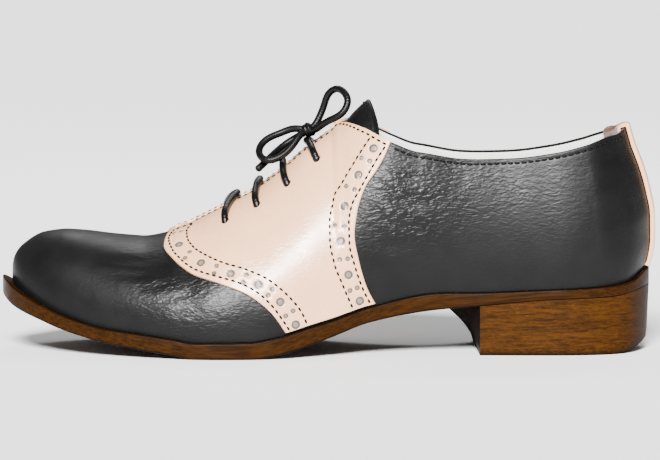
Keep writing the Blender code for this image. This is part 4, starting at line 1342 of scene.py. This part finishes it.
class SHOE_OT_tongue(bpy.types.Operator):
    """The tongue under the facings, standing out of the collar, with a row below its free end"""

    bl_idname = "shoe.tongue"
    bl_label = "Tongue"

    def execute(self, context):
        sizes, colours = context.scene.shoe_sizes, context.scene.shoe_colours
        clear = UPPER_WALL + 2 * GAP
        turns = np.linspace(turn_of(0.79), turn_of(FACING_TOP + 0.01), 60)
        lows = np.linspace(0.86, 0.60, 60)
        lean = math.radians(TONGUE_LEAN)
        up = np.array([math.cos(lean), 0.0, math.sin(lean)])
        steps, narrow = np.array(((0.0, 1.0),) + TONGUE_TOP).T
        reach = np.concatenate([np.linspace(0, 0.9, 32)[1:],
                                0.9 + 0.1 * np.sin(np.linspace(0, 1, 10)[1:] * math.pi / 2)])
        sheets, row = [], None
        for depth in (0.0, TONGUE_THICKNESS):
            rows = []
            for turn, low in zip(turns, lows):
                rise = np.linspace(low, 0.985, 20)
                left = off_upper(OUTER, turn, rise, -clear - depth)
                right = off_upper(INNER, turn, rise, -clear - depth)
                bridge = left[-1] + (right[-1] - left[-1]) * np.linspace(0, 1, 9)[1:-1, None]
                rows.append(np.concatenate([left, bridge, right[::-1]]))
            base = rows[-1]
            drop = (base[:, 2].max() - base[:, 2:]) * np.array([1.0, 0.0, 0.0])
            square = np.array([-math.sin(lean), 0.0, math.cos(lean)])
            rows += [base * (1, width, 1) + up * TONGUE_RISE * step + 0.30 * drop * step
                     + np.sin(math.pi * drop / drop.max()) * np.array([0.0012, 0.0, 0.0]) * step
                     + square * 0.0014 * math.sin(math.pi * min(1.0, step * 0.8 + 0.1))
                     for step, width in zip(reach, flow(steps, narrow, reach))]
            sheets.append(np.stack(rows))
        middle = (sheets[0] + sheets[1]) / 2
        down, across = run_along(sheets[0], 0), run_along(sheets[0], 1)
        to_edge = np.minimum(np.minimum(across, across[:, -1:] - across), down[-1:] - down)
        round_off = 1 - edge_fall(to_edge, TONGUE_THICKNESS / 2) / (TONGUE_THICKNESS / 2) * 0.85
        sheets = [middle + (s - middle) * round_off[..., None] for s in sheets]
        size = sheets[0].shape[0] * sheets[0].shape[1] * 2
        material = bpy.data.materials["black_leather_dressed"]
        piece = laid("tongue_flap", sheets, material, "black_leather",
                     {"worked": np.full(size, 0.25)})
        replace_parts(piece, "tongue")
        row = sheets[0][-11, 3:-3]
        normals = np.cross(sheets[0][-11, 4:-2] - row, up)
        normals *= np.sign((normals * (row - middle[-11, 3:-3])).sum(-1, keepdims=True))
        normals /= np.linalg.norm(normals, axis=-1, keepdims=True)
        stitched("tongue_stitches", [(row, normals)], bpy.data.materials["stitch_thread"],
                 "black_cord",
                 sizes, sizes.stitch_length, sizes.stitch_width, 0.0002)
        return {"FINISHED"}


class SHOE_OT_bottom(bpy.types.Operator):
    """Outsole, stacked heel with its lift, and the sock inside"""

    bl_idname = "shoe.bottom"
    bl_label = "Sole and heel"

    def execute(self, context):
        colours = context.scene.shoe_colours
        turn = np.linspace(0, math.pi, 260)
        profile = ((0.0016, 1.0, 0.8), (0.00055, 1.0, 0.93), (0.00022, 0.985, 0.985),
                   (0.00005, 0.95, 0.95),
                   (0.0, 0.9, 0.9), (0.0, 0.7, 0.7), (0.0, 0.5, 0.5), (0.0, 0.3, 0.3),
                   (0.0, 0.1, 0.1),
                   (0.00006, 0.05, 0.05), (0.0002, 0.015, 0.015), (0.0004, 0.0, 0.0),
                   (0.0016, 0.0, 0.2))
        across = 30
        sheets, levels, lies = [], [], []
        for inset, level, mark in profile:
            def height(distance, level=level):
                return (1 - level) * sole_bottom(distance) + level * sole_top(distance)
            sheet = flat_sheet(sole_edge(OUTER, turn, inset), sole_edge(INNER, turn, inset), height,
                               across)
            sheets.append(sheet)
            levels.append(np.full(sheet.shape[0] * across, mark))
            run = run_along(sheet[:, :1], 0) / MM
            thick = sole_share("thickness", SHOE_LENGTH / 2 - sheet[..., 0]) * SOLE_THICKNESS / MM
            lie = np.stack([np.broadcast_to(run, thick.shape), level * thick, sheet[..., 1] / MM],
                           -1)
            lies.append(lie.reshape(-1, 3))
        sole = laid("sole", sheets, sole_leather(colours), "sole_leather",
                    {"level": np.concatenate(levels), "lie": np.concatenate(lies)})
        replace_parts(sole, "outsole")
        self.heel(colours)
        turn = np.linspace(0, math.pi, 120)
        inset = UPPER_WALL + 2 * GAP
        outer, inner = moved_out(OUTER, turn, -inset), moved_out(INNER, turn, -inset)
        base = flat_sheet(outer, inner, lambda d: sole_top(d) + 2 * GAP, 24)
        top = flat_sheet(outer, inner, lambda d: sole_top(d) + 2 * GAP + INSOLE_THICKNESS, 24)
        sock = laid("sock", [top, base], bpy.data.materials["lining_leather_pale"],
                    "lining_leather")
        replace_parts(sock, "insole")
        return {"FINISHED"}

    def heel(self, colours):
        """The heel in level sheets: each blends the sole's underside with the lift's top, and the
        edge steps in slightly as it goes down."""
        blocks = (("heel_stack", "heel_block", "stacked_heel", np.linspace(1, 0, 25),
                   heel_leather(colours)),
                  ("heel_lift", "heel_top_piece", "top_piece_rubber", np.linspace(1, 0, 7),
                   lift_rubber(colours)))
        for name, node, slot, shares, material in blocks:
            sheets, marks = [], {"level": [], "breast": [], "back": []}
            for share in shares:
                if node == "heel_block":
                    def height(d, share=share):
                        low = top_piece_base(d) + TOP_PIECE_THICKNESS + TOUCH
                        return share * (sole_bottom(d) - TOUCH) + (1 - share) * low
                    level = (share * (HEEL_HEIGHT - TOP_PIECE_THICKNESS)
                             + TOP_PIECE_THICKNESS) / HEEL_HEIGHT
                    inset = (1 - share) * 0.0008
                else:
                    def height(d, share=share):
                        return top_piece_base(d) + share * TOP_PIECE_THICKNESS
                    level = share * TOP_PIECE_THICKNESS / HEEL_HEIGHT
                    inset = 0.0008 + (1 - share) * 0.0004
                sheet = heel_sheet(level, inset, height)
                sheets.append(sheet)
                distance = SHOE_LENGTH / 2 - sheet[..., 0]
                marks["level"].append(np.full(distance.size, share))
                front = np.zeros(distance.shape)
                front[-1] = 1.0
                marks["breast"].append(front.ravel())
                marks["back"].append(np.clip(1 - (distance - 0.001) / 0.016, 0, 1).ravel())
            marks = {key: np.concatenate(value) for key, value in marks.items()}
            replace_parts(laid(name, sheets, material, slot, marks), node)


class SHOE_PT_panel(bpy.types.Panel):
    """Sizes, colours and pieces of the saddle shoe"""

    bl_idname = "SHOE_PT_panel"
    bl_label = "Saddle shoe"
    bl_space_type = "VIEW_3D"
    bl_region_type = "UI"
    bl_category = "Shoe"

    def draw(self, context):
        for group in (context.scene.shoe_sizes, context.scene.shoe_colours):
            box = self.layout.box()
            for key in group.__annotations__:
                box.prop(group, key)
        for operator in OPERATORS:
            self.layout.operator(operator.bl_idname)


OPERATORS = (SHOE_OT_stage, SHOE_OT_bow, SHOE_OT_lace_bars, SHOE_OT_black_panels, SHOE_OT_saddle,
             SHOE_OT_stitching, SHOE_OT_backstay, SHOE_OT_tongue, SHOE_OT_bottom)
CLASSES = (SHOE_PG_sizes, SHOE_PG_colours, *OPERATORS, SHOE_PT_panel)


def register():
    for each in CLASSES:
        bpy.utils.register_class(each)
    bpy.types.Scene.shoe_sizes = bpy.props.PointerProperty(type=SHOE_PG_sizes)
    bpy.types.Scene.shoe_colours = bpy.props.PointerProperty(type=SHOE_PG_colours)


def unregister():
    del bpy.types.Scene.shoe_colours
    del bpy.types.Scene.shoe_sizes
    for each in reversed(CLASSES):
        bpy.utils.unregister_class(each)


def main():
    register()
    for operator in OPERATORS:
        group, name = operator.bl_idname.split(".")
        getattr(getattr(bpy.ops, group), name)()


if __name__ == "__main__":
    main()
